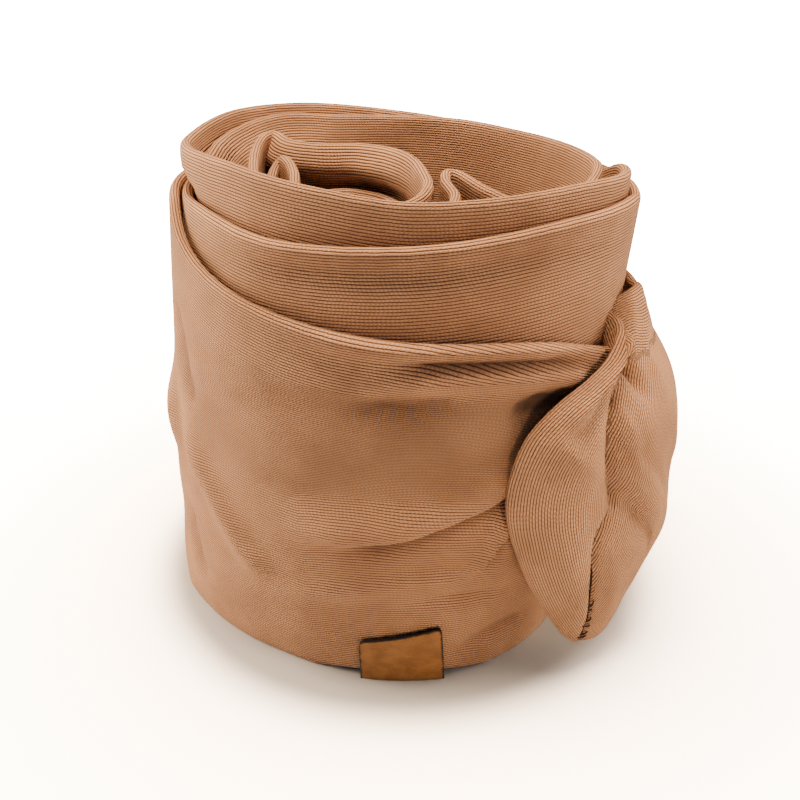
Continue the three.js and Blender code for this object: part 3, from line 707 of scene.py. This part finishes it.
@dataclass(frozen=True)
class KnitPattern:
    """The pattern of a plain knit: columns of slanted stitches side by side, drawn on the cloth's own UV map, whose
    first coordinate runs along the columns and whose second runs across them, both in metres."""

    name: str = "plain_knit"
    column: float = 0.49e-3
    stitch: float = 0.62e-3
    roundness: float = 2.2
    slant: float = 0.55
    relief: float = 0.4  # the part of the height that single stitches make
    groove: tuple[float, float] = (0.45, 0.95)

    def group(self) -> bpy.types.NodeTree:
        """Builds the node group, which gives the height of the threads, the grooves between columns and the strokes
        of single stitches."""
        tree = bpy.data.node_groups.new(self.name, "ShaderNodeTree")
        tree.interface.new_socket("Cloth", in_out="INPUT", socket_type="NodeSocketVector")
        tree.interface.new_socket("Wander", in_out="INPUT", socket_type="NodeSocketFloat")
        for name in ("Height", "Groove", "Stroke"):
            tree.interface.new_socket(name, in_out="OUTPUT", socket_type="NodeSocketFloat")
        nodes = Nodes(tree)
        start = tree.nodes.new("NodeGroupInput")
        cloth = nodes.add("SeparateXYZ", {"Vector": start.outputs["Cloth"]}).outputs
        drift = nodes.math("SUBTRACT", nodes.noise(start.outputs["Cloth"], 260.0, 3.0), 0.5)
        across = nodes.math("DIVIDE", cloth["Y"], self.column)
        across = nodes.math("ADD", across, nodes.math("MULTIPLY", drift, start.outputs["Wander"]))
        place = nodes.math("FRACT", across)
        side = nodes.math("MULTIPLY", nodes.math("ABSOLUTE", nodes.math("SUBTRACT", place, 0.5)), 2.0)
        rib = nodes.math("SUBTRACT", 1.0, nodes.math("POWER", side, self.roundness))
        own = nodes.add("TexWhiteNoise", {"W": nodes.math("FLOOR", across)}, noise_dimensions="1D").outputs["Value"]
        along = nodes.math("DIVIDE", cloth["X"], self.stitch)
        slant = nodes.math("MULTIPLY", side, self.slant)
        along = nodes.math("ADD", nodes.math("ADD", along, slant), nodes.math("ADD", own, drift))
        stroke = nodes.math("MULTIPLY_ADD", nodes.math("SINE", nodes.math("MULTIPLY", along, math.tau)), 0.5, 0.5)
        height = nodes.math("MULTIPLY", rib, nodes.math("MULTIPLY_ADD", stroke, self.relief, 1 - self.relief))
        end = tree.nodes.new("NodeGroupOutput")
        outputs = {"Height": height, "Groove": nodes.ramp(side, *self.groove), "Stroke": stroke}
        for name, socket in outputs.items():
            tree.links.new(socket, end.inputs[name])
        return tree


class Finish:
    """What every finish has in common."""

    def material(self) -> bpy.types.Material:
        """Builds the material."""
        raise NotImplementedError


@dataclass(frozen=True)
class JerseyFinish(Finish):
    """Fine-ribbed mocha jersey: light threads, painted shade in the grooves between ribs, between single stitches and
    in deep creases, and a soft bloom of loose fibres.
    """

    name: str = "mocha_jersey"
    thread: Colour = (0.62, 0.33, 0.185)
    # the thread's random darker tone, also the painted shade between single stitches
    dark_tone_and_shade: Colour = (0.40, 0.205, 0.11)
    # near-black colour of the painted shade in the grooves between ribs and in deep creases
    groove: Colour = (0.035, 0.014, 0.007)
    bloom: Colour = (0.9, 0.6, 0.4)
    # how strongly painted shade darkens the grooves and the deep creases
    groove_painted_shade: float = 0.95
    crease_painted_shade: float = 0.8
    wander: float = 0.5
    clouds: float = 90.0
    fibres: float = 9000.0
    fuzz: float = 0.18
    relief: float = 0.3e-3
    roughness: float = 0.82
    shine: float = 0.25
    sheen: float = 0.08
    knit: KnitPattern = field(default_factory=KnitPattern)

    def material(self) -> bpy.types.Material:
        """Builds the material."""
        material, nodes = Nodes.of_new(self.name)
        cloth = nodes.add("UVMap", uv_map="cloth").outputs["UV"]
        place = nodes.add("TexCoord").outputs["Object"]
        knit = nodes.add("Group", node_tree=self.knit.group())
        nodes.feed(knit, {"Cloth": cloth, "Wander": self.wander})
        cloudy = nodes.ramp(nodes.noise(place, self.clouds, 4.0), 0.3, 0.7)
        thread = nodes.mix(cloudy, opaque(self.dark_tone_and_shade), opaque(self.thread))
        # painted shade between single stitches: darker where each stitch's height falls
        thread = nodes.mix(knit.outputs["Stroke"], opaque(self.dark_tone_and_shade), thread)
        # crease depth, by which painted shade darkens the colour in deep creases
        hollow = nodes.add("Attribute", attribute_name="hollow").outputs["Fac"]
        # painted shade: the colour turns near-black in the grooves between ribs and in deep creases
        colour = thread
        for dark, strength in ((knit.outputs["Groove"], self.groove_painted_shade), (hollow, self.crease_painted_shade)):
            colour = nodes.mix(nodes.math("MULTIPLY", dark, strength), colour, opaque(self.groove))
        height = nodes.math("MULTIPLY_ADD", nodes.noise(place, self.fibres), self.fuzz, knit.outputs["Height"])
        nodes.dress({
            "Base Color": colour,
            "Roughness": nodes.math("MULTIPLY_ADD", knit.outputs["Groove"], 0.1, self.roughness),
            "Normal": nodes.bump(height, self.relief),
            "Specular IOR Level": self.shine,
            "Sheen Weight": self.sheen,
            "Sheen Roughness": 0.4,
            "Sheen Tint": opaque(self.bloom),
        })
        return material


@dataclass(frozen=True)
class LeatherFinish(Finish):
    """Smooth cognac leather, burnt dark where it was cut."""

    name: str = "cognac_leather"
    tan: Colour = (0.21, 0.09, 0.022)
    deep: Colour = (0.155, 0.063, 0.014)
    burnt: Colour = (0.008, 0.005, 0.004)
    ragged: float = 0.5e-3
    charred: tuple[float, float] = (0.3e-3, 0.75e-3)
    clouds: float = 420.0
    pores: float = 2600.0
    grain: float = 3800.0
    relief: float = 0.06e-3
    roughness: float = 0.42
    shine: float = 0.16

    def material(self) -> bpy.types.Material:
        """Builds the material."""
        material, nodes = Nodes.of_new(self.name)
        place = nodes.add("TexCoord").outputs["Object"]
        edge = nodes.add("Attribute", attribute_name="from_edge").outputs["Fac"]
        ragged = nodes.math("MULTIPLY_ADD", nodes.noise(place, 1500.0), self.ragged, edge)
        char = nodes.math("SUBTRACT", 1.0, nodes.ramp(ragged, *self.charred))
        cloudy = nodes.ramp(nodes.noise(place, self.clouds, 5.0), 0.32, 0.68)
        skin = nodes.mix(cloudy, opaque(self.deep), opaque(self.tan))
        pores = nodes.add("TexVoronoi", {"Vector": place, "Scale": self.pores}).outputs["Distance"]
        height = nodes.math("ADD", pores, nodes.noise(place, self.grain, 3.0))
        nodes.dress({
            "Base Color": nodes.mix(char, skin, opaque(self.burnt)),
            "Roughness": nodes.math("MULTIPLY_ADD", char, 0.3, self.roughness),
            "Normal": nodes.bump(height, self.relief),
            "Specular IOR Level": self.shine,
        })
        return material


@dataclass(frozen=True)
class ThreadFinish(Finish):
    """Dark brown sewing thread."""

    name: str = "sewing_thread"
    dye: Colour = (0.006, 0.003, 0.002)
    worn: Colour = (0.02, 0.01, 0.007)
    twist: float = 6000.0
    relief: float = 0.05e-3
    roughness: float = 0.75
    shine: float = 0.15

    def material(self) -> bpy.types.Material:
        """Builds the material."""
        material, nodes = Nodes.of_new(self.name)
        place = nodes.add("TexCoord").outputs["Object"]
        strands = nodes.noise(place, self.twist)
        nodes.dress({
            "Base Color": nodes.mix(strands, opaque(self.dye), opaque(self.worn)),
            "Normal": nodes.bump(strands, self.relief),
            "Roughness": self.roughness,
            "Specular IOR Level": self.shine,
        })
        return material


class Piece:
    """What every piece of the headband has in common.

    Attributes:
        name: the piece's name.
    """

    name: ClassVar[str]

    def shape(self) -> bmesh.types.BMesh:
        """Models the piece."""
        raise NotImplementedError

    def declare(self, piece: bpy.types.Object) -> None:
        """Says what the piece rides on and what it stands for."""
        raise NotImplementedError

    def build(self, finish: Finish) -> bpy.types.Object:
        """Builds and dresses the piece.

        Args:
            finish: its finish.

        Returns:
            The piece.
        """
        shape = self.shape()
        bmesh.ops.recalc_face_normals(shape, faces=shape.faces[:])
        piece = placed(self.name, shape, finish.material())
        self.declare(piece)
        LOG.info("%s: %d faces", self.name, len(piece.data.polygons))
        return piece


def placed(name: str, shape: bmesh.types.BMesh, material: bpy.types.Material, smooth: bool = True) -> bpy.types.Object:
    """Turns a finished shape into an object at the origin.

    Args:
        name: the piece's name.
        shape: its shape, which is freed.
        material: its material.
        smooth: whether its faces are shaded smoothly.

    Returns:
        The object.
    """
    mesh = bpy.data.meshes.new(name)
    shape.to_mesh(mesh)
    shape.free()
    for face in mesh.polygons:
        face.use_smooth = smooth
    mesh.materials.append(material)
    piece = bpy.data.objects.new(name, mesh)
    bpy.context.scene.collection.objects.link(piece)
    return piece


def sheet_of(places: Array, cloth: Array | None = None, marks: dict[str, Array] | None = None) -> bmesh.types.BMesh:
    """Makes a grid and lays it on given places.

    Args:
        places: points in metres, in rows and columns.
        cloth: UV coordinates of the same points, if the sheet has them.
        marks: other numbers for the same points, kept under their names.

    Returns:
        The sheet, with its seams still open.
    """
    rows, columns = places.shape[:2]
    sheet = bmesh.new()
    bmesh.ops.create_grid(sheet, x_segments=columns - 1, y_segments=rows - 1, size=1.0)
    sheet.verts.ensure_lookup_table()
    grid = np.array([vert.co[:2] for vert in sheet.verts])
    column = np.rint((grid[:, 0] + 1) / 2 * (columns - 1)).astype(int)
    row = np.rint((grid[:, 1] + 1) / 2 * (rows - 1)).astype(int)
    for vert, i, j in zip(sheet.verts, row, column):
        vert.co = places[i, j]
    for name, values in (marks or {}).items():
        layer = sheet.verts.layers.float.new(name)
        for vert, i, j in zip(sheet.verts, row, column):
            vert[layer] = values[i, j]
    if cloth is not None:
        layer = sheet.loops.layers.uv.new("cloth")
        for face in sheet.faces:
            for loop in face.loops:
                k = loop.vert.index
                loop[layer].uv = cloth[row[k], column[k]]
    return sheet


@dataclass
class Fabric:
    """One ply of the band as it lies.

    Attributes:
        share: for each point its share of the width.
        places: the points in millimetres about the roll's axis.
        plain: where they would be without folds.
        hollow: how deep in a crease each point is, from 0 to 1; the jersey's colour darkens by it as painted shade.
    """

    share: Array
    places: Array
    plain: Array
    hollow: Array


@dataclass
class Band(Piece):
    """The headband itself: one closed tube of jersey pressed flat.

    Attributes:
        axis: where the roll's axis stands.
        front_steps: steps across the outer ply, between the rounded edges.
        back_steps: steps across the inner ply.
        edge_steps: steps round a quarter of a rounded edge.
        widest_edge: the largest share of the width that a rounded edge takes up.
        pleats: how many gathers lie across the width.
        deep: the depths in a crease between which painted shade darkens it.
        fullest: how far the two lobes of the tail's foot merge, over the rows of the end's table in filling.
        true_from_rim: how far from the upper edge the ribs keep their spacing; true_from_hem, from the lower one.
        full_width: the widths between which a section counts as full width.
        hanging_free: the rows of the end's table between which the ribs start to follow the folds.
        rolled_over: how much cloth the rolled upper edge at the gathers takes in, over the turns in rolling.
        roll_reach: how far down the ribs shift with it, from wholly to not at all.
    """

    name = "jersey_band"
    axis: tuple[float, float] = (-2.676, 0.820)
    front_steps: int = 54
    back_steps: int = 34
    edge_steps: int = 4
    widest_edge: float = 0.12
    pleats: int = 3
    deep: tuple[float, float] = (0.4, 1.7)
    fullest: float = 0.6
    filling: tuple[float, float] = (19.5, 23.0)
    true_from_rim: float = 10.0
    true_from_hem: float = 40.0
    full_width: tuple[float, float] = (42.0, 60.0)
    hanging_free: tuple[float, float] = (12.0, 14.0)
    rolled_over: float = 7.0
    rolling: tuple[float, float] = (268.0, 322.0)
    roll_reach: tuple[float, float] = (5.0, 18.0)
    winding: Winding = field(default_factory=Winding)
    roll_folds: RollFolds = field(default_factory=RollFolds)
    tail_folds: TailFolds = field(default_factory=TailFolds)

    def __post_init__(self) -> None:
        """Works out the sections and the two plies."""
        self.strip = self.winding.strip()
        self.end_row = (self.strip.turn - self.winding.roll_end) / (self.winding.knot_turn / 2) - 1
        self.faces = {
            ply: self.ply_places(ply, steps)
            for ply, steps in ((Ply.OUTER, self.front_steps), (Ply.INNER, self.back_steps))
        }

    def shares(self, steps: int) -> tuple[Array, Array]:
        """Spreads points over the width of every section.

        Args:
            steps: steps between the rounded edges.

        Returns:
            Their shares of the width, and half the wall's thickness there.
        """
        wall = self.strip.swell[:, 3:]
        edge = np.minimum(wall / 2 / self.strip.widths()[:, None], self.widest_edge)
        quarter = np.linspace(0, math.pi / 2, self.edge_steps + 1)[None, :-1]
        flat = edge + (1 - 2 * edge) * np.linspace(0, 1, steps + 1)[None]
        low = edge * (1 - np.cos(quarter))
        share = np.concatenate([low, flat, 1 - low[:, ::-1]], axis=1)
        bow = np.concatenate([np.sin(quarter), np.ones((1, steps + 1)), np.sin(quarter)[:, ::-1]], axis=1)
        return share, wall / 2 * bow * self.closing()[:, None]

    def closing(self) -> Array:
        """Returns how far the wall is open at each section: its two ends are rounded off and closed."""
        along = self.strip.along()
        reach = self.strip.swell[:, 3] / 2
        inward = np.clip(np.minimum(along, along[-1] - along) / reach, 0.0, 1.0)
        return np.sqrt(1 - (1 - inward) ** 2)

    def ply_places(self, ply: Ply, steps: int) -> Fabric:
        """Works out where one ply lies.

        Args:
            ply: the ply.
            steps: steps across it.

        Returns:
            The ply.
        """
        share, half = self.shares(steps)
        middle = self.strip.points(share)
        along = np.gradient(middle, axis=0)
        across = np.gradient(middle, axis=1)
        out = np.cross(along, across)
        out /= np.maximum(np.linalg.norm(out, axis=-1, keepdims=True), 1e-9)
        low, high, pleat = (self.strip.swell[:, k : k + 1] for k in range(3))
        half_way = self.tail_folds.lobe_share(self.end_row, share)
        full = self.fullest * smoothstep(self.end_row, *self.filling)[:, None]
        lobe = (1 - full) * np.abs(np.sin(math.tau * half_way)) + full * np.sin(math.pi * half_way)
        lobe *= np.where(half_way < 0.5, low, high)
        gathers = pleat * np.cos(math.tau * self.pleats * share) * (1 - share**2)
        push = lobe + gathers + self.roll_folds.wall_push(middle, self.strip.turn)
        push -= self.tail_folds.total(self.tail_folds.wall, self.end_row, share)
        bow = half / np.maximum(self.strip.swell[:, 3:] / 2, 1e-9)
        if ply is Ply.OUTER:
            lift = bow * self.roll_folds.ply_push(middle, self.strip.turn)
        else:
            lift = bow * self.tail_folds.total(self.tail_folds.ply, self.end_row, share)
        places = middle + out * (push + ply.value * (half + lift))[..., None]
        places[..., 2] = np.maximum(places[..., 2], 0.0)
        plain = middle + out * (ply.value * half)[..., None]
        return Fabric(share, places, plain, smoothstep(-lift, *self.deep))

    def cloth_place(self, ply: Ply) -> Array:
        """Works out the cloth's own coordinates, in metres: along the band and across it.

        Across the band they count from the upper edge down one ply, so ribs run true along both edges, and what the
        folds hide is taken out between them, at the seam where there is one.

        Args:
            ply: the ply, since the inner one counts the other way from that edge.

        Returns:
            Two coordinates for each point.
        """
        fabric, along = self.faces[ply], self.strip.along()
        free = smoothstep(self.end_row, *self.hanging_free)[:, None]
        folded, plain = (
            np.linalg.norm(np.diff(points, axis=1), axis=-1) for points in (fabric.places, fabric.plain)
        )
        stretch = plain + (folded - plain) * free
        from_rim = np.concatenate([np.cumsum(stretch[:, ::-1], axis=1)[:, ::-1], np.zeros((len(along), 1))], axis=1)
        width = from_rim[:, :1]
        seam = self.tail_folds.seam_share(self.end_row)
        at_seam = np.array([np.interp(c, row, far) for c, row, far in zip(seam, fabric.share, from_rim)])[:, None]
        whole = smoothstep(width, *self.full_width)
        top = at_seam + (self.true_from_rim - at_seam) * whole
        foot = (width - at_seam) + (self.true_from_hem - (width - at_seam)) * whole
        cloth = self.winding.band_width
        squeeze = (cloth - top - foot) / np.maximum(width - top - foot, 1e-3)
        across = np.where(from_rim >= width - foot, cloth - width + from_rim, top + (from_rim - top) * squeeze)
        across = np.where(from_rim <= top, from_rim, across)
        rolled = self.rolled_over * smoothstep(self.strip.turn, *self.rolling)[:, None] * (1 - free)
        across = ply.value * across - rolled * (1 - smoothstep(across, *self.roll_reach))
        return np.stack([np.broadcast_to(along[:, None], across.shape), across], axis=-1) * MM

    def point(self, row: float, share: float, ply: Ply) -> Array:
        """Finds the place of a point of the end or the tail.

        Args:
            row: its place in the end's table.
            share: its share of the width.
            ply: the ply it is on.

        Returns:
            The point in metres.
        """
        shares, places = self.faces[ply].share, self.faces[ply].places
        near = np.interp(row, self.end_row, np.arange(len(self.end_row)))
        i = min(int(near), len(places) - 2)
        rows = [[np.interp(share, shares[k], places[k][:, axis]) for axis in range(3)] for k in (i, i + 1)]
        spot = np.array(rows[0]) + (near - i) * (np.array(rows[1]) - np.array(rows[0]))
        return (spot + np.array([*self.axis, 0.0])) * MM

    def shape(self) -> bmesh.types.BMesh:
        """Models the tube, from the outer ply round to the inner one."""
        front, back = self.faces[Ply.OUTER], self.faces[Ply.INNER]
        around = [
            np.concatenate([outer, inner[:, -2::-1]], axis=1)
            for outer, inner in (
                (front.places, back.places),
                (self.cloth_place(Ply.OUTER), self.cloth_place(Ply.INNER)),
                (front.hollow, back.hollow),
            )
        ]
        places = (around[0] + np.array([*self.axis, 0.0])) * MM
        # the crease depth is kept on the mesh for the painted shade in creases
        tube = sheet_of(places, around[1], {"hollow": around[2]})
        bmesh.ops.remove_doubles(tube, verts=tube.verts[:], dist=2e-6)
        return tube

    def declare(self, piece: bpy.types.Object) -> None:
        """Says that the band is the CAD's band.

        Args:
            piece: the finished piece.
        """
        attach(piece, "root")
        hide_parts("band")
        length = float(self.strip.along()[-1]) * MM


@dataclass
class Label(Piece):
    """The small leather label, folded round the lower edge in front.

    Attributes:
        band: the band it is on.
        width: its width.
        height: how far it reaches up the front.
        under: how far it reaches under the band.
        tilt: how far it is turned, in degrees.
        taper: how much each half narrows for each millimetre up.
        skew: how much of the turn the level lines take.
        lean: how much of the turn the upright lines take.
        thickness: the leather's thickness.
        gap: how far it stands off the cloth.
        corner: the radius of its upper corners.
        lowest: the share of the band's width below which it doesn't follow the cloth.
        columns: how many steps its mesh has across.
    """

    name = "leather_label"
    band: Band
    width: float = 14.8
    height: float = 11.2
    under: float = 1.8
    tilt: float = 9.5
    taper: float = 0.05
    skew: float = 1.6
    lean: float = 0.25
    thickness: float = 0.65
    gap: float = 0.3
    corner: float = 1.1
    lowest: float = 0.012
    columns: int = 32

    def rows(self) -> Array:
        """Returns how high the rows of the label's mesh are, close together round the fold and at the corners."""
        folded = np.linspace(-self.under, 0.0, 6)
        bend = np.array([0.25, 0.5, 0.9])
        face = np.linspace(1.6, self.height - self.corner, 14)
        corner = self.height - self.corner * (1 - np.sin(np.linspace(0, math.pi / 2, 7)[1:]))
        return np.concatenate([folded, bend, face, corner])

    def places(self) -> tuple[Array, Array]:
        """Works out the label's outer face.

        Returns:
            Its points in metres, and how far each one is from the nearest cut edge, in metres.
        """
        up = self.rows()[:, None]
        side = np.linspace(-1, 1, self.columns + 1)[None]
        over = np.clip(self.corner - (self.height - np.maximum(up, 0)), 0, self.corner)
        pinch = self.corner - np.sqrt(self.corner**2 - over**2)
        half = self.width / 2 - pinch - self.taper * np.maximum(up, 0.0)
        reach = half * side
        slope = math.tan(math.radians(self.tilt))
        climb = np.maximum(up, 0.0)
        z = climb + climb / self.height * slope * reach * self.skew
        winding = self.band.winding
        foot = winding.roll(np.array([winding.label_turn])).edges[0, 0]
        radius = math.hypot(foot[0], foot[1]) + WALL / 2
        turn = winding.label_turn + np.degrees((reach - slope * climb * self.lean) / radius)
        strip = winding.roll(turn.ravel())
        rim = strip.edges[:, 2, 2].reshape(turn.shape)
        share = np.maximum((z + HEM_SINK) / (rim + HEM_SINK), self.lowest)
        middle = strip.points(share.reshape(-1, 1))
        push = self.band.roll_folds.wall_push(middle, turn.ravel()) + np.maximum(
            self.band.roll_folds.ply_push(middle, turn.ravel()), 0.0
        )
        middle = middle.reshape(*turn.shape, 3)
        out = middle[..., :2] / np.linalg.norm(middle[..., :2], axis=-1, keepdims=True)
        inward = np.where(up < 0, -up + WALL / 2, 0.0)
        stand = WALL / 2 + self.gap + self.thickness + push.reshape(turn.shape) - inward
        level = np.where(up <= 0, 0.0, z)
        flat = middle[..., :2] + out * stand[..., None]
        spot = np.concatenate([flat, level[..., None]], axis=-1) + np.array([*self.band.axis, 0.0])
        edge = np.minimum(half - np.abs(reach), np.minimum(self.height - climb, up + self.under))
        return spot * MM, np.maximum(edge, 0.0) * MM

    def shape(self) -> bmesh.types.BMesh:
        """Models the leather, from its outer face inwards."""
        spots, edge = self.places()
        hide = sheet_of(spots, marks={"from_edge": edge})
        bmesh.ops.recalc_face_normals(hide, faces=hide.faces[:])
        bmesh.ops.solidify(hide, geom=hide.faces[:], thickness=-self.thickness * MM)
        return hide

    def declare(self, piece: bpy.types.Object) -> None:
        """Says that the label is the CAD's label.

        Args:
            piece: the finished piece.
        """
        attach(piece, "root")
        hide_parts("label")


@dataclass
class TailStitches(Piece):
    """Dark thread along the seam of the tail and the short stitches that close it.

    Attributes:
        band: the band they are sewn through.
        stitches: for each stitch the rows of the end's table where it starts and ends, and how far it reaches to each
            side of the seam, as a share of the width.
        line: the rows between which the thread shows along the seam.
        thickness: the thread's thickness in the stitches.
        line_thickness: its thickness along the seam.
        lift: how far a stitch's middle stands out from the cloth.
        sink: how deep its ends are in the cloth.
        line_lift: how far the thread along the seam stands out from the bottom of the seam.
        steps: how many steps a stitch's thread has; line_steps, the thread along the seam.
        outward: the direction in which the seam faces.
    """

    name = "tail_stitches"
    band: Band
    stitches: Rows = (
        (23.2, 23.3, 0.012), (23.6, 23.5, 0.012), (24.0, 24.1, 0.014), (24.4, 24.3, 0.014), (24.8, 24.9, 0.02),
        (25.2, 25.1, 0.02), (25.6, 25.75, 0.045), (25.95, 25.9, 0.035), (26.3, 26.4, 0.05), (26.65, 26.55, 0.07),
        (26.95, 27.05, 0.08), (27.25, 27.2, 0.1),
    )
    line: tuple[float, float] = (24.4, 27.5)
    thickness: float = 0.3
    line_thickness: float = 0.36
    lift: float = 0.3
    sink: float = 0.12
    line_lift: float = 0.26
    steps: int = 6
    line_steps: int = 24
    outward: Place = (0.75, -0.66, 0.0)

    def thread(self, seam: bmesh.types.BMesh, stops: Array, thickness: float) -> None:
        """Sweeps the thread's round outline through points.

        Args:
            seam: the shape that it is added to.
            stops: the points in metres.
            thickness: the thread's thickness in millimetres.
        """
        outward = np.array(self.outward)
        along = (stops[-1] - stops[0]) / np.linalg.norm(stops[-1] - stops[0])
        side = np.cross(along, outward)
        radius = thickness / 2 * MM
        ring = bmesh.ops.create_circle(seam, cap_ends=True, segments=8, radius=radius)["verts"]
        face = ring[0].link_faces[0]
        for k, vert in enumerate(ring):
            angle = math.tau * k / len(ring)
            vert.co = stops[0] + (side * math.cos(angle) + outward * math.sin(angle)) * radius
        for last, here in zip(stops[:-1], stops[1:]):
            face = bmesh.ops.extrude_discrete_faces(seam, faces=[face])["faces"][0]
            bmesh.ops.translate(seam, verts=face.verts[:], vec=here - last)

    def shape(self) -> bmesh.types.BMesh:
        """Models the stitches and then the thread along the seam."""
        seam = bmesh.new()
        share = self.band.tail_folds.seam
        outward = np.array(self.outward) * MM
        for row_a, row_b, reach in self.stitches:
            middle = float(share.at(np.array([row_a]), "share")[0])
            start = self.band.point(row_a, middle - reach, Ply.INNER)
            end = self.band.point(row_b, middle + reach, Ply.INNER)
            part = np.linspace(0, 1, self.steps + 1)[:, None]
            bow = self.lift * np.sin(math.pi * part) - self.sink
            self.thread(seam, start + (end - start) * part + outward * bow, self.thickness)
        rows = np.linspace(*self.line, self.line_steps)
        spots = [self.band.point(row, float(share.at(np.array([row]), "share")[0]), Ply.INNER) for row in rows]
        self.thread(seam, np.array(spots) + outward * self.line_lift, self.line_thickness)
        bmesh.ops.remove_doubles(seam, verts=seam.verts[:], dist=1e-7)
        return seam

    def declare(self, piece: bpy.types.Object) -> None:
        """Says that the stitches move with the headband."""
        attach(piece, "root")


@dataclass(frozen=True)
class Lamp:
    """One lamp.

    Attributes:
        name: its name.
        place: where it hangs.
        size: how large it is.
        power: its power in watts.
        target: what it faces, by default the middle of the roll.
        cone: the angle of its beam in degrees, or 0 where it shines all over.
    """

    name: str
    place: Place
    size: float
    power: float
    target: Place = (0.0, 0.0, 0.045)
    cone: float = 0.0


@dataclass
class Studio:
    """White floor with a shadow painted round the roll's foot, dim bluish surroundings and warm lamps, with the camera
    in front and above.

    Attributes:
        pitch: how far the camera is tilted up from looking straight down, in degrees.
        floor_white: how much light the floor gives back to the pieces.
        floor_shown: how bright it looks; floor_painted_shadow, how bright its colour is painted in the shadow at the
            roll's foot.
        middle: where the roll's axis stands, round which that painted shadow ends at the distances in
            painted_shadow_until.
        floor_far: the distances between which the floor turns plain white, by its glow.
    """

    camera_place: Place = (-0.002676, -0.15693, 0.11617)
    pitch: float = 62.924
    lens: float = 39.24
    floor_size: float = 6.0
    floor_white: float = 0.6
    floor_shown: float = 2.8
    # painted shadow: the floor's colour is darker round the roll's foot
    floor_painted_shadow: float = 0.45
    middle: Place = (-0.002676, 0.00082, 0.0)
    painted_shadow_until: tuple[float, float] = (0.0455, 0.057)
    floor_far: tuple[float, float] = (0.046, 0.2)
    glow: float = 20.0
    room: Colour = (0.135, 0.19, 0.25)
    lamp_colour: Colour = (1.0, 0.74, 0.49)
    lamps: tuple[Lamp, ...] = (
        Lamp("left", (-0.5, 0.14, 0.17), 0.4, 11.5),
        Lamp("right", (0.5, 0.08, 0.15), 0.4, 5.5),
        Lamp("above", (0.0, 0.0, 0.6), 0.3, 11.0),
        Lamp("low", (0.12, -0.38, 0.03), 0.1, 12.0, (0.038, -0.045, 0.026), 12.0),
        Lamp("into", (-0.04, -0.25, 0.45), 0.05, 9.0, (-0.004, 0.044, 0.088), 8.5),
    )

    def camera(self) -> None:
        """Stands the camera up."""
        data = bpy.data.cameras.new("camera")
        data.lens = self.lens
        data.sensor_width = 36.0
        data.clip_start = 0.005
        camera = bpy.data.objects.new("camera", data)
        camera.location = self.camera_place
        camera.rotation_euler = (math.radians(self.pitch), 0.0, 0.0)
        bpy.context.scene.collection.objects.link(camera)
        bpy.context.scene.camera = camera

    def floor(self) -> None:
        """Lays the white floor, with a shadow painted round the roll's foot."""
        slab = bmesh.new()
        bmesh.ops.create_grid(slab, x_segments=1, y_segments=1, size=self.floor_size / 2)
        material, nodes = Nodes.of_new("white_floor")
        seen = nodes.add("LightPath").outputs["Is Camera Ray"]
        white, lit, dim = (opaque((grey,) * 3) for grey in (self.floor_white, self.floor_shown, self.floor_painted_shadow))
        plain = nodes.add("BsdfDiffuse", {"Color": white}).outputs[0]
        place = nodes.add("TexCoord").outputs["Object"]
        beside = nodes.add("VectorMath", {0: place, 1: self.middle}, operation="DISTANCE").outputs["Value"]
        # painted shadow: the floor that the camera sees darkens towards the roll's foot, by distance from the roll's
        # axis
        tint = nodes.mix(nodes.ramp(beside, *self.painted_shadow_until), dim, lit)
        shown = nodes.add("BsdfDiffuse", {"Color": tint}).outputs[0]
        reach = nodes.add("VectorMath", {0: place}, operation="LENGTH").outputs["Value"]
        glow = nodes.math("MULTIPLY", nodes.ramp(reach, *self.floor_far), self.glow)
        far = nodes.add("Emission", {"Strength": glow}).outputs[0]
        bright = nodes.add("AddShader", {0: shown, 1: far}).outputs[0]
        both = nodes.add("MixShader", {0: seen, 1: plain, 2: bright}).outputs[0]
        nodes.tree.links.new(both, nodes.tree.nodes["Material Output"].inputs["Surface"])
        nodes.tree.nodes.remove(nodes.tree.nodes["Principled BSDF"])
        piece = placed("floor", slab, material, smooth=False)

    def light(self, lamp: Lamp) -> None:
        """Hangs a lamp.

        Args:
            lamp: the lamp.
        """
        data = bpy.data.lights.new(lamp.name, "SPOT" if lamp.cone else "AREA")
        if lamp.cone:
            data.spot_size = math.radians(lamp.cone)
            data.spot_blend = 0.9
            data.shadow_soft_size = lamp.size / 2
        else:
            data.shape = "DISK"
            data.size = lamp.size
        data.energy = lamp.power
        data.color = self.lamp_colour
        hung = bpy.data.objects.new(lamp.name, data)
        hung.location = lamp.place
        x, y, z = np.array(lamp.target) - np.array(lamp.place)
        hung.rotation_euler = (math.atan2(math.hypot(x, y), -z), 0.0, math.atan2(-x, y))
        bpy.context.scene.collection.objects.link(hung)

    def world(self) -> None:
        """Colours the surroundings."""
        world = bpy.data.worlds.new("room")
        world.use_nodes = True
        world.node_tree.nodes["Background"].inputs["Color"].default_value = opaque(self.room)
        bpy.context.scene.world = world

    def build(self) -> None:
        """Sets up the whole studio."""
        self.camera()
        self.floor()
        self.world()
        for lamp in self.lamps:
            self.light(lamp)


def main() -> None:
    """Builds the scene piece by piece and writes down how large it came out."""
    logging.basicConfig(level=logging.INFO, format="%(name)s: %(message)s")
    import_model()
    Studio().build()
    band = Band()
    band.build(JerseyFinish())
    Label(band).build(LeatherFinish())
    TailStitches(band).build(ThreadFinish())


if __name__ == "__main__":
    main()
